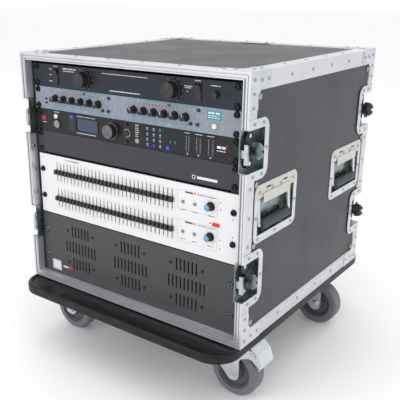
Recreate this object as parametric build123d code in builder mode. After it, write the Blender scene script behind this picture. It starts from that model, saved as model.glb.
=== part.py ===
from build123d import *
import os

# A ten-unit 19-inch flight-case rack on casters, with six rack units bolted in.
# Origin: on the floor, under the middle of the case. +Z is up and the front faces -Y. Millimetres.

os.makedirs("parts", exist_ok=True)

# ---- 19-inch rack standard -------------------------------------------------------------------
RACK_UNIT = 44.45
RACK_UNITS = 10
PANEL_WIDTH = 482.6
PANEL_THICKNESS = 3.0
HOLE_SPACING = 465.1
HOLE_OFFSETS = (6.35, 22.225, 38.1)
RAIL_HOLE_RADIUS = 3.5

# ---- Case ------------------------------------------------------------------------------------
CASE_WIDTH = 526.0
CASE_DEPTH = 514.0
CASE_HEIGHT = 478.0
SKIN = 1.5
PLY = 9.0
BAND_DEPTH = 25.0
NOSE_WIDTH = 12.6
ANGLE_LEG = 30.0
PLATE = 1.2
STACK_RISE = 14.5
PANEL_SETBACK = 15.0

# ---- Caster board and casters ----------------------------------------------------------------
CASTER_HEIGHT = 127.0
BOARD_THICKNESS = 18.0
BOARD_OVERHANG = 50.0
BOARD_CORNER = 50.0
BOARD_RIM = 8.0
WHEEL_RADIUS = 50.0
WHEEL_WIDTH = 32.0
AXLE_RADIUS = 5.0
TRAIL = 32.0
KINGPIN_X = 184.0
KINGPIN_Y = 179.0
KINGPIN_RADIUS = 6.0
RUNNING_CLEARANCE = 0.06
EAR_INNER = 19.0
EAR_OUTER = 22.0
CROWN_TOP = 113.0

# ---- Latches and handles ---------------------------------------------------------------------
LATCH_HEIGHTS = (125.0, 353.0)
LATCH_POCKET_DEPTH = 51.0
LATCH_POCKET_HALF = 35.0
LATCH_FLANGE_DEPTH = 65.0
LATCH_FLANGE_HALF = 51.0
LATCH_FLANGE_CORNER = 20.0
LATCH_AXIS_INSET = 22.5
POCKET_FLOOR = 247.0
HANDLE_Y = 151.0
HANDLE_HEIGHT = 238.0
HANDLE_FLANGE = (152.0, 104.0)
HANDLE_POCKET = (128.0, 66.0)
HANDLE_POCKET_DROP = 5.0
BAIL_RADIUS = 3.5
GRIP_RADIUS = 9.0
GRIP_LENGTH = 100.0

# ---- Levels and planes worked out from these ---------------------------------------------------
HALF_W = CASE_WIDTH / 2
HALF_D = CASE_DEPTH / 2
BOARD_TOP = CASTER_HEIGHT + BOARD_THICKNESS
CASE_TOP = BOARD_TOP + CASE_HEIGHT
CASE_MID = BOARD_TOP + CASE_HEIGHT / 2
PLY_OUTER = HALF_W - SKIN
PLY_INNER = PLY_OUTER - PLY
PLY_END = HALF_D - 7.5
STACK_Z = BOARD_TOP + STACK_RISE
STACK_TOP = STACK_Z + RACK_UNITS * RACK_UNIT
PANEL_Y = HALF_D - PANEL_SETBACK
RAIL_Y = PANEL_Y - PANEL_THICKNESS
LATCH_Z = [BOARD_TOP + h for h in LATCH_HEIGHTS]
HANDLE_Z = BOARD_TOP + HANDLE_HEIGHT
HANDLE_POCKET_Z = HANDLE_Z - HANDLE_POCKET_DROP
CUTOUT_MARGIN = 2.0

SIDES = {"left": -1, "right": 1}
ENDS = {"front": -1, "rear": 1}
LEVELS = {"lower": LATCH_Z[0], "upper": LATCH_Z[1]}


def save(builder, name):
    """Name the finished piece and write it as its own STEP file."""
    builder.part.label = name
    export_step(builder.part, f"parts/{name}.step")


def save_group(name, *builders):
    """Write several separate solids that belong together as one STEP file."""
    export_step(Compound(label=name, children=[builder.part for builder in builders]), f"parts/{name}.step")


def block(x_span, y_span, z_span, mode=Mode.ADD):
    """A box between two opposite corners, each span being (one end, other end)."""
    spans = (x_span, y_span, z_span)
    with Locations(tuple((a + b) / 2 for a, b in spans)):
        Box(*(abs(b - a) for a, b in spans), mode=mode)


def rod(axis, centre, radius, length, mode=Mode.ADD):
    """A cylinder along X, Y or Z about its centre."""
    turn = {"X": (0, 90, 0), "Y": (90, 0, 0), "Z": (0, 0, 0)}[axis]
    with Locations(Location(centre, turn)):
        Cylinder(radius, length, mode=mode)


def front_studs(spots, stand_off, base_radius, tip_radius, height):
    """Round studs on the panels' front faces, at (x, z) spots, tapering towards the viewer."""
    y = -PANEL_Y - stand_off - height / 2
    with Locations(*[Location((x, y, z), (90, 0, 0)) for x, z in spots]):
        Cone(base_radius, tip_radius, height)


def side_plane(side, x):
    """A plane facing out of the left (-1) or right (+1) side, with local x along +Y or -Y."""
    return Plane(origin=(side * x, 0, 0), x_dir=(0, side, 0), z_dir=(side, 0, 0))


def unit_z(rack_position):
    """Height of the bottom of a rack unit, counted from 0 at the foot of the stack."""
    return STACK_Z + rack_position * RACK_UNIT


# ---- Caster board ------------------------------------------------------------------------------
BOARD_LENGTH = CASE_DEPTH + 2 * BOARD_OVERHANG
BOLT_SPACING_X = 60.0
BOLT_SPACING_Y = 80.0
caster_spots = [(sx * KINGPIN_X, sy * KINGPIN_Y) for sy in (-1, 1) for sx in (-1, 1)]
bolt_spots = [
    (x + ix * BOLT_SPACING_X / 2, y + iy * BOLT_SPACING_Y / 2)
    for x, y in caster_spots
    for ix in (-1, 1)
    for iy in (-1, 1)
]

with BuildPart() as caster_board:
    with BuildSketch(Plane.XY.offset(CASTER_HEIGHT)):
        RectangleRounded(CASE_WIDTH, BOARD_LENGTH, BOARD_CORNER)
    extrude(amount=BOARD_THICKNESS)
    fillet(caster_board.faces().sort_by(Axis.Z)[-1].outer_wire().edges(), 4)
    fillet(caster_board.faces().sort_by(Axis.Z)[0].outer_wire().edges(), 2)
    for end in ENDS.values():
        with BuildSketch(Plane.XY.offset(BOARD_TOP)):
            RectangleRounded(
                CASE_WIDTH - 2 * BOARD_RIM,
                BOARD_LENGTH - 2 * BOARD_RIM,
                BOARD_CORNER - BOARD_RIM,
            )
            with Locations((0, -end * BOARD_OVERHANG)):
                Rectangle(CASE_WIDTH, BOARD_LENGTH, mode=Mode.SUBTRACT)
        extrude(amount=-3, mode=Mode.SUBTRACT)
    with BuildSketch(Plane.XY.offset(CASTER_HEIGHT)):
        with Locations(*bolt_spots):
            Circle(4.5)
    extrude(amount=BOARD_THICKNESS, mode=Mode.SUBTRACT)
    with BuildSketch(Plane.XY.offset(BOARD_TOP)):
        with Locations(*bolt_spots):
            Circle(9.5)
    extrude(amount=-5.5, mode=Mode.SUBTRACT)
save(caster_board, "caster_board")

# ---- Wooden panels -----------------------------------------------------------------------------
RAIL_BOLT_Y = 224.5
RAIL_BOLT_HEIGHTS = (40.0, 185.0, 293.0, 438.0)
rail_bolt_spots = [(sy * RAIL_BOLT_Y, BOARD_TOP + h) for sy in (-1, 1) for h in RAIL_BOLT_HEIGHTS]
cutout_half_w = HANDLE_POCKET[0] / 2 + CUTOUT_MARGIN
cutout_half_h = HANDLE_POCKET[1] / 2 + CUTOUT_MARGIN

for side_name, side in SIDES.items():
    with BuildPart() as side_panel:
        block(
            (side * PLY_INNER, side * PLY_OUTER),
            (-PLY_END, PLY_END),
            (BOARD_TOP + SKIN, CASE_TOP - SKIN),
        )
        for end in ENDS.values():
            for z in LATCH_Z:
                block(
                    (side * (PLY_INNER - 1), side * HALF_W),
                    (end * (HALF_D - LATCH_POCKET_DEPTH - CUTOUT_MARGIN), end * HALF_D),
                    (z - LATCH_POCKET_HALF - CUTOUT_MARGIN, z + LATCH_POCKET_HALF + CUTOUT_MARGIN),
                    mode=Mode.SUBTRACT,
                )
            block(
                (side * (PLY_INNER - 1), side * HALF_W),
                (end * HANDLE_Y - cutout_half_w, end * HANDLE_Y + cutout_half_w),
                (HANDLE_POCKET_Z - cutout_half_h, HANDLE_POCKET_Z + cutout_half_h),
                mode=Mode.SUBTRACT,
            )
        with BuildSketch(side_plane(side, PLY_INNER - 1)):
            with Locations(*[(side * y, z) for y, z in rail_bolt_spots]):
                Circle(3.2)
        extrude(amount=PLY + 2, mode=Mode.SUBTRACT)
    save(side_panel, f"side_panel_{side_name}")

with BuildPart() as top_panel:
    block((-PLY_INNER, PLY_INNER), (-PLY_END, PLY_END), (CASE_TOP - SKIN - PLY, CASE_TOP - SKIN))
save(top_panel, "top_panel")

with BuildPart() as bottom_panel:
    block((-PLY_INNER, PLY_INNER), (-PLY_END, PLY_END), (BOARD_TOP + SKIN, BOARD_TOP + SKIN + PLY))
save(bottom_panel, "bottom_panel")


# ---- Aluminium edging --------------------------------------------------------------------------
def ring(end, outer_inset, inner_inset, near, far):
    """One step of the lid extrusion: a rectangular ring between two distances from the case end."""
    with BuildSketch(Plane.XZ.offset(-end * (HALF_D - near))) as frame:
        with Locations((0, CASE_MID)):
            Rectangle(CASE_WIDTH - 2 * outer_inset, CASE_HEIGHT - 2 * outer_inset)
            Rectangle(CASE_WIDTH - 2 * inner_inset, CASE_HEIGHT - 2 * inner_inset, mode=Mode.SUBTRACT)
    extrude(frame.sketch, amount=end * (far - near))


for end_name, end in ENDS.items():
    with BuildPart() as extrusion:
        ring(end, 0, SKIN, 0, BAND_DEPTH)
        ring(end, SKIN, NOSE_WIDTH - 1.6, 4.5, 7.0)
        ring(end, SKIN, 3.2, 0, 4.5)
        ring(end, 5.2, 8.4, 1.2, 4.5)
        ring(end, NOSE_WIDTH - 1.6, NOSE_WIDTH, 0, PANEL_SETBACK + 2.5)
        for side in SIDES.values():
            for z in LATCH_Z:
                block(
                    (side * (POCKET_FLOOR - 1), side * (HALF_W + 1)),
                    (end * (HALF_D - BAND_DEPTH - 1), end * (HALF_D + 1)),
                    (z - LATCH_POCKET_HALF - PLATE, z + LATCH_POCKET_HALF + PLATE),
                    mode=Mode.SUBTRACT,
                )
    save(extrusion, f"{end_name}_extrusion")

with BuildPart() as edge_angles:
    band_end = HALF_D - BAND_DEPTH
    for side in SIDES.values():
        for edge_z, inward in ((CASE_TOP, -1), (BOARD_TOP, 1)):
            block(
                (side * PLY_OUTER, side * HALF_W),
                (-band_end, band_end),
                (edge_z, edge_z + inward * ANGLE_LEG),
            )
            block(
                (side * PLY_OUTER, side * (HALF_W - ANGLE_LEG)),
                (-band_end, band_end),
                (edge_z, edge_z + inward * SKIN),
            )
save(edge_angles, "edge_angles")

BRACE_LEG = 66.0
JOINING_PLATE_X = (-56.0, 25.0)
JOINING_PLATE_REACH = BAND_DEPTH + 10.0
with BuildPart() as corner_braces:
    with BuildSketch(Plane.XY.offset(CASE_TOP)):
        with BuildLine():
            plate_left, plate_right = JOINING_PLATE_X
            Polyline(
                (plate_left, HALF_D),
                (plate_left, HALF_D - BAND_DEPTH),
                (plate_left + 12, HALF_D - JOINING_PLATE_REACH),
                (plate_right - 12, HALF_D - JOINING_PLATE_REACH),
                (plate_right, HALF_D - BAND_DEPTH),
                (plate_right, HALF_D),
                close=True,
            )
        make_face()
    extrude(amount=PLATE)
    for side in SIDES.values():
        for end in ENDS.values():
            for edge_z, inward in ((CASE_TOP + PLATE, -1), (BOARD_TOP, 1)):
                corner_y = side * end * HALF_D
                with BuildSketch(side_plane(side, HALF_W)):
                    with BuildLine():
                        Polyline(
                            (corner_y, edge_z),
                            (corner_y, edge_z + inward * BRACE_LEG),
                            (corner_y - side * end * (BAND_DEPTH - 6), edge_z + inward * BRACE_LEG),
                            (corner_y - side * end * BAND_DEPTH, edge_z + inward * (BRACE_LEG - 6)),
                            (corner_y - side * end * BAND_DEPTH, edge_z + inward * (ANGLE_LEG + 8)),
                            (corner_y - side * end * (BAND_DEPTH + 8), edge_z + inward * ANGLE_LEG),
                            (corner_y - side * end * (BRACE_LEG - 6), edge_z + inward * ANGLE_LEG),
                            (corner_y - side * end * BRACE_LEG, edge_z + inward * (ANGLE_LEG - 6)),
                            (corner_y - side * end * BRACE_LEG, edge_z),
                            close=True,
                        )
                    make_face()
                extrude(amount=PLATE)
            with BuildSketch(Plane.XY.offset(CASE_TOP)):
                with BuildLine():
                    corner_x = side * (HALF_W + PLATE)
                    Polyline(
                        (corner_x, end * HALF_D),
                        (corner_x - side * (BRACE_LEG - 6), end * HALF_D),
                        (corner_x - side * BRACE_LEG, end * (HALF_D - 6)),
                        (corner_x - side * BRACE_LEG, end * (HALF_D - BAND_DEPTH + 6)),
                        (corner_x - side * (BRACE_LEG - 6), end * (HALF_D - BAND_DEPTH)),
                        (corner_x - side * (ANGLE_LEG + 8), end * (HALF_D - BAND_DEPTH)),
                        (corner_x - side * ANGLE_LEG, end * (HALF_D - BAND_DEPTH - 8)),
                        (corner_x - side * ANGLE_LEG, end * (HALF_D - BRACE_LEG + 6)),
                        (corner_x - side * (ANGLE_LEG - 6), end * (HALF_D - BRACE_LEG)),
                        (corner_x, end * (HALF_D - BRACE_LEG)),
                        close=True,
                    )
                make_face()
            extrude(amount=PLATE)
save(corner_braces, "corner_braces")

# ---- Rack rails --------------------------------------------------------------------------------
RAIL_FACE_INNER = 224.0
RAIL_STEEL = 2.0
RAIL_LEG = 25.0
hole_heights = [unit_z(u) + offset for u in range(RACK_UNITS) for offset in HOLE_OFFSETS]

with BuildPart() as rack_rails:
    for side in SIDES.values():
        for end in ENDS.values():
            block(
                (side * RAIL_FACE_INNER, side * (PLY_INNER - 0.2)),
                (end * RAIL_Y, end * (RAIL_Y - RAIL_STEEL)),
                (STACK_Z, STACK_TOP),
            )
            block(
                (side * (PLY_INNER - 0.2 - RAIL_STEEL), side * (PLY_INNER - 0.2)),
                (end * (RAIL_Y - RAIL_STEEL), end * (RAIL_Y - RAIL_LEG)),
                (STACK_Z, STACK_TOP),
            )
            for z in LATCH_Z:
                block(
                    (side * (POCKET_FLOOR - 1), side * PLY_OUTER),
                    (end * (HALF_D - LATCH_POCKET_DEPTH - 2.5), end * HALF_D),
                    (z - LATCH_POCKET_HALF - 2, z + LATCH_POCKET_HALF + 2),
                    mode=Mode.SUBTRACT,
                )
            block(
                (side * (POCKET_FLOOR - 1), side * PLY_OUTER),
                (end * 190, end * 218),
                (HANDLE_POCKET_Z - cutout_half_h, HANDLE_POCKET_Z + cutout_half_h),
                mode=Mode.SUBTRACT,
            )
            with BuildSketch(Plane.XZ.offset(-end * RAIL_Y)):
                with Locations(*[(side * HOLE_SPACING / 2, z) for z in hole_heights]):
                    Circle(RAIL_HOLE_RADIUS)
            extrude(amount=end * RAIL_STEEL, mode=Mode.SUBTRACT)
        with BuildSketch(side_plane(side, PLY_INNER - 3)):
            with Locations(*[(side * y, z) for y, z in rail_bolt_spots]):
                Circle(3.2)
        extrude(amount=4, mode=Mode.SUBTRACT)
save(rack_rails, "rack_rails")

with BuildPart() as rail_bolts:
    for side in SIDES.values():
        for y, z in rail_bolt_spots:
            rod("X", (side * (PLY_OUTER + 1.0), y, z), 5.0, 2.0)
            rod("X", (side * (PLY_OUTER - 8.0), y, z), 3.0, 16.0)
        with BuildSketch(side_plane(side, PLY_INNER - 0.2 - RAIL_STEEL)):
            with Locations(*[(side * y, z) for y, z in rail_bolt_spots]):
                RegularPolygon(5.0, 6)
                Circle(3.05, mode=Mode.SUBTRACT)
        extrude(amount=-3.0)
save(rail_bolts, "rail_bolts")

# ---- Recessed butterfly latches ----------------------------------------------------------------
latch_places = [(sx, sy, z) for sx in SIDES.values() for sy in ENDS.values() for z in LATCH_Z]

with BuildPart() as latch_dishes:
    for side, end, z in latch_places:
        edge_y = side * end * HALF_D
        back_y = side * end * (HALF_D - LATCH_FLANGE_DEPTH)
        low, high = z - LATCH_FLANGE_HALF, z + LATCH_FLANGE_HALF
        with BuildSketch(side_plane(side, HALF_W)):
            with BuildLine():
                FilletPolyline(
                    (edge_y, low),
                    (back_y, low),
                    (back_y, high),
                    (edge_y, high),
                    radius=LATCH_FLANGE_CORNER,
                )
                Line((edge_y, high), (edge_y, low))
            make_face()
            with Locations((side * end * (HALF_D - LATCH_POCKET_DEPTH / 2), z)):
                Rectangle(LATCH_POCKET_DEPTH, 2 * LATCH_POCKET_HALF, mode=Mode.SUBTRACT)
        extrude(amount=PLATE)
        y_open = end * HALF_D
        y_back = end * (HALF_D - LATCH_POCKET_DEPTH)
        block(
            (side * POCKET_FLOOR, side * HALF_W),
            (y_open, y_back - end * PLATE),
            (z - LATCH_POCKET_HALF - PLATE, z + LATCH_POCKET_HALF + PLATE),
        )
        block(
            (side * (POCKET_FLOOR + PLATE), side * (HALF_W + PLATE)),
            (y_open, y_back),
            (z - LATCH_POCKET_HALF, z + LATCH_POCKET_HALF),
            mode=Mode.SUBTRACT,
        )
save(latch_dishes, "latch_dishes")

LATCH_BASE_X = POCKET_FLOOR + PLATE
ROTOR_X = LATCH_BASE_X + 5.0
LATCH_Y = HALF_D - LATCH_AXIS_INSET
LATCH_BASE_THICKNESS = 4.6
PIVOT_RADIUS = 2.5

with BuildPart() as latch_bases:
    for side, end, z in latch_places:
        with BuildSketch(side_plane(side, LATCH_BASE_X)):
            with BuildLine():
                mid = side * end * LATCH_Y
                Polyline(
                    (mid - 12, z - 22),
                    (mid - 6, z - 30),
                    (mid + 6, z - 30),
                    (mid + 12, z - 22),
                    (mid + 12, z + 22),
                    (mid + 6, z + 30),
                    (mid - 6, z + 30),
                    (mid - 12, z + 22),
                    close=True,
                )
            make_face()
        extrude(amount=LATCH_BASE_THICKNESS)
        bore_radius = PIVOT_RADIUS + RUNNING_CLEARANCE
        rod("X", (side * (LATCH_BASE_X + 3), end * LATCH_Y, z), bore_radius, 8, Mode.SUBTRACT)
        for dz in (-23, 23):
            rod("X", (side * (LATCH_BASE_X + LATCH_BASE_THICKNESS + 0.8), end * LATCH_Y, z + dz), 3.6, 1.6)
        # the claw that reaches over the case's edge: an upright bar on a bent arm
        claw_y = end * (HALF_D - 5.2)
        block(
            (side * (HALF_W - 8), side * (HALF_W - 1.5)),
            (claw_y - 2.3, claw_y + 2.3),
            (z - 21, z + 12),
        )
        block(
            (side * LATCH_BASE_X, side * (HALF_W - 7)),
            (claw_y - 1.2, claw_y + 1.2),
            (z - 11, z + 2),
        )
        block(
            (side * LATCH_BASE_X, side * (LATCH_BASE_X + 2.4)),
            (claw_y, end * (LATCH_Y + 8)),
            (z - 11, z + 2),
        )
save(latch_bases, "latch_bases")

WING_REACH = HALF_W + 16.0
for side_name, side in SIDES.items():
    for end_name, end in ENDS.items():
        for level_name, z in LEVELS.items():
            with BuildPart() as butterfly:
                y = end * LATCH_Y
                rod("X", (side * (ROTOR_X + 1.5), y, z), 9.0, 3.0)
                rod("X", (side * (ROTOR_X - 1.6), y, z), PIVOT_RADIUS, 3.2)
                with BuildSketch(Plane.XZ.offset(-y - 1.3)):
                    with BuildLine():
                        Polyline(
                            (side * (ROTOR_X + 2.5), z - 8),
                            (side * (ROTOR_X + 8), z - 14),
                            (side * (WING_REACH - 7), z - 14),
                            (side * WING_REACH, z - 8),
                            (side * WING_REACH, z - 3),
                            (side * (WING_REACH - 6), z),
                            (side * WING_REACH, z + 3),
                            (side * WING_REACH, z + 8),
                            (side * (WING_REACH - 7), z + 14),
                            (side * (ROTOR_X + 8), z + 14),
                            (side * (ROTOR_X + 2.5), z + 8),
                            close=True,
                        )
                    make_face()
                extrude(amount=2.6)
                wing_edges = butterfly.edges().filter_by(Axis.Y)
                fillet(wing_edges.filter_by(lambda edge: abs(edge.center().X) > WING_REACH - 7.5), 1.4)
            save(butterfly, f"latch_butterfly_{end_name}_{side_name}_{level_name}")

# ---- Recessed spring handles -------------------------------------------------------------------
handle_places = [(sx, sy * HANDLE_Y) for sx in SIDES.values() for sy in ENDS.values()]
HANDLE_FLOOR = 247.5
PIVOT_X = 256.5
PIVOT_Z = HANDLE_Z + 22.5
GRIP_X = 259.5
GRIP_Z = HANDLE_Z - 23.5
KNUCKLE_Y = 42.0
KNUCKLE_LENGTH = 12.0
ARM_Y = 54.0
COVER_HALF = 48.0
COVER_THICKNESS = 1.5

with BuildPart() as handle_dishes:
    for side, y in handle_places:
        with BuildSketch(side_plane(side, PLY_OUTER)):
            with Locations((side * y, HANDLE_Z)):
                RectangleRounded(*HANDLE_FLANGE, 15)
            with Locations((side * y, HANDLE_Z - HANDLE_POCKET_DROP)):
                Rectangle(*HANDLE_POCKET, mode=Mode.SUBTRACT)
            with Locations((side * y - 30, HANDLE_Z + 43), (side * y + 30, HANDLE_Z + 43)):
                SlotOverall(16, 3.5, mode=Mode.SUBTRACT)
        extrude(amount=PLATE)
        half_w, half_h = HANDLE_POCKET[0] / 2, HANDLE_POCKET[1] / 2
        block(
            (side * HANDLE_FLOOR, side * PLY_OUTER),
            (y - half_w - PLATE, y + half_w + PLATE),
            (HANDLE_POCKET_Z - half_h - PLATE, HANDLE_POCKET_Z + half_h + PLATE),
        )
        block(
            (side * (HANDLE_FLOOR + PLATE), side * (PLY_OUTER + PLATE)),
            (y - half_w, y + half_w),
            (HANDLE_POCKET_Z - half_h, HANDLE_POCKET_Z + half_h),
            mode=Mode.SUBTRACT,
        )
        block(
            (side * (PLY_OUTER + PLATE), side * (PLY_OUTER + PLATE + COVER_THICKNESS)),
            (y - COVER_HALF, y + COVER_HALF),
            (PIVOT_Z - 5, HANDLE_Z + 35),
        )
        for knuckle in (y - KNUCKLE_Y, y + KNUCKLE_Y):
            rod("Y", (side * PIVOT_X, knuckle, PIVOT_Z), 5.0, KNUCKLE_LENGTH)
            block(
                (side * (PIVOT_X - 5), side * (PIVOT_X + 5)),
                (knuckle - KNUCKLE_LENGTH / 2, knuckle + KNUCKLE_LENGTH / 2),
                (PIVOT_Z, HANDLE_POCKET_Z + half_h),
            )
            rod(
                "Y",
                (side * PIVOT_X, knuckle, PIVOT_Z),
                BAIL_RADIUS + RUNNING_CLEARANCE,
                KNUCKLE_LENGTH + 2,
                Mode.SUBTRACT,
            )
save(handle_dishes, "handle_dishes")

drop = PIVOT_Z - GRIP_Z
lean = GRIP_X - PIVOT_X
arm_length = (drop**2 + lean**2) ** 0.5
for side_name, side in SIDES.items():
    for end_name, end in ENDS.items():
        y = end * HANDLE_Y
        hang = Plane(
            origin=(side * PIVOT_X, y, PIVOT_Z),
            x_dir=(0, 1, 0),
            z_dir=(drop, 0, side * lean),
        )
        with BuildPart() as bail:
            with BuildLine(hang) as bail_line:
                FilletPolyline(
                    (KNUCKLE_Y - KNUCKLE_LENGTH / 2, 0),
                    (ARM_Y, 0),
                    (ARM_Y, -arm_length),
                    (-ARM_Y, -arm_length),
                    (-ARM_Y, 0),
                    (-KNUCKLE_Y + KNUCKLE_LENGTH / 2, 0),
                    radius=5.5,
                )
            with BuildSketch(Plane(origin=bail_line.line @ 0, z_dir=bail_line.line % 0)):
                Circle(BAIL_RADIUS)
            sweep()
        with BuildPart() as grip:
            with BuildSketch(Plane(origin=(side * GRIP_X, y - GRIP_LENGTH / 2, GRIP_Z), z_dir=(0, 1, 0))):
                Circle(GRIP_RADIUS)
                Circle(BAIL_RADIUS, mode=Mode.SUBTRACT)
            extrude(amount=GRIP_LENGTH)
            rims = grip.edges().filter_by(GeomType.CIRCLE)
            chamfer(rims.filter_by(lambda edge: edge.radius > BAIL_RADIUS + 1), 2.5)
        save_group(f"handle_{end_name}_{side_name}", bail, grip)

# ---- Swivel casters ----------------------------------------------------------------------------
with BuildPart() as caster_plates:
    for x, y in caster_spots:
        with BuildSketch(Plane.XY.offset(CASTER_HEIGHT - 3)):
            with Locations((x, y)):
                RectangleRounded(85, 105, 8)
            with Locations(*bolt_spots):
                Circle(4.5, mode=Mode.SUBTRACT)
        extrude(amount=3)
    for x, y in caster_spots:
        with BuildSketch(Plane.XY.offset(CASTER_HEIGHT - 3)):
            with Locations((x, y)):
                Circle(33)
        extrude(amount=-7.5, taper=18)
        rod("Z", (x, y, 112), KINGPIN_RADIUS, 10)
        rod("Z", (x, y, 107.2), 10, 2.4)
save(caster_plates, "caster_plates")

NUT_TOP = CASTER_HEIGHT - 3
with BuildPart() as caster_bolts:
    with BuildSketch(Plane.XY.offset(BOARD_TOP - 1)):
        with Locations(*bolt_spots):
            Circle(9)
    extrude(amount=-4)
    with BuildSketch(Plane.XY.offset(BOARD_TOP - 5)):
        with Locations(*bolt_spots):
            Circle(4)
    extrude(amount=-(BOARD_TOP - 5 - NUT_TOP + 9))
    with BuildSketch(Plane.XY.offset(NUT_TOP)):
        with Locations(*bolt_spots):
            RegularPolygon(7.0, 6)
        with Locations(*bolt_spots):
            Circle(4.05, mode=Mode.SUBTRACT)
    extrude(amount=-6.5)
save(caster_bolts, "caster_bolts")

BRAKED = ("front_right", "rear_left")
PEDAL_PIVOT = (70.0, 102.7)
PEDAL_PIN_RADIUS = 2.5


def ear_outline(x, trail, braked):
    """Side view of one fork leg: crown, sloping leading edge, axle boss, and the brake's arm."""
    boss_x = x + trail * TRAIL
    with BuildLine() as outline:
        Polyline(
            (x - trail * 28, CROWN_TOP),
            (x - trail * 28, 94),
            (boss_x - trail * 10.4, WHEEL_RADIUS - 9.6),
        )
        ThreePointArc(
            (boss_x - trail * 10.4, WHEEL_RADIUS - 9.6),
            (boss_x + trail * 2, WHEEL_RADIUS - 14),
            (boss_x + trail * 14, WHEEL_RADIUS),
        )
        if braked:
            tip_x = x + trail * PEDAL_PIVOT[0]
            Polyline(
                (boss_x + trail * 14, WHEEL_RADIUS),
                (boss_x + trail * 14, 82),
                (boss_x + trail * 19, 88),
                (tip_x - trail * 4, 94),
            )
            ThreePointArc(
                (tip_x - trail * 4, 94),
                (tip_x + trail * 9, PEDAL_PIVOT[1]),
                (tip_x - trail * 2, 111.5),
            )
            Line((tip_x - trail * 2, 111.5), (x - trail * 28, CROWN_TOP))
        else:
            Polyline(
                (boss_x + trail * 14, WHEEL_RADIUS),
                (boss_x + trail * 14, 82),
                (x + trail * 30, 104),
                (x + trail * 30, CROWN_TOP),
                (x - trail * 28, CROWN_TOP),
            )
    make_face(outline.edges())


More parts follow.
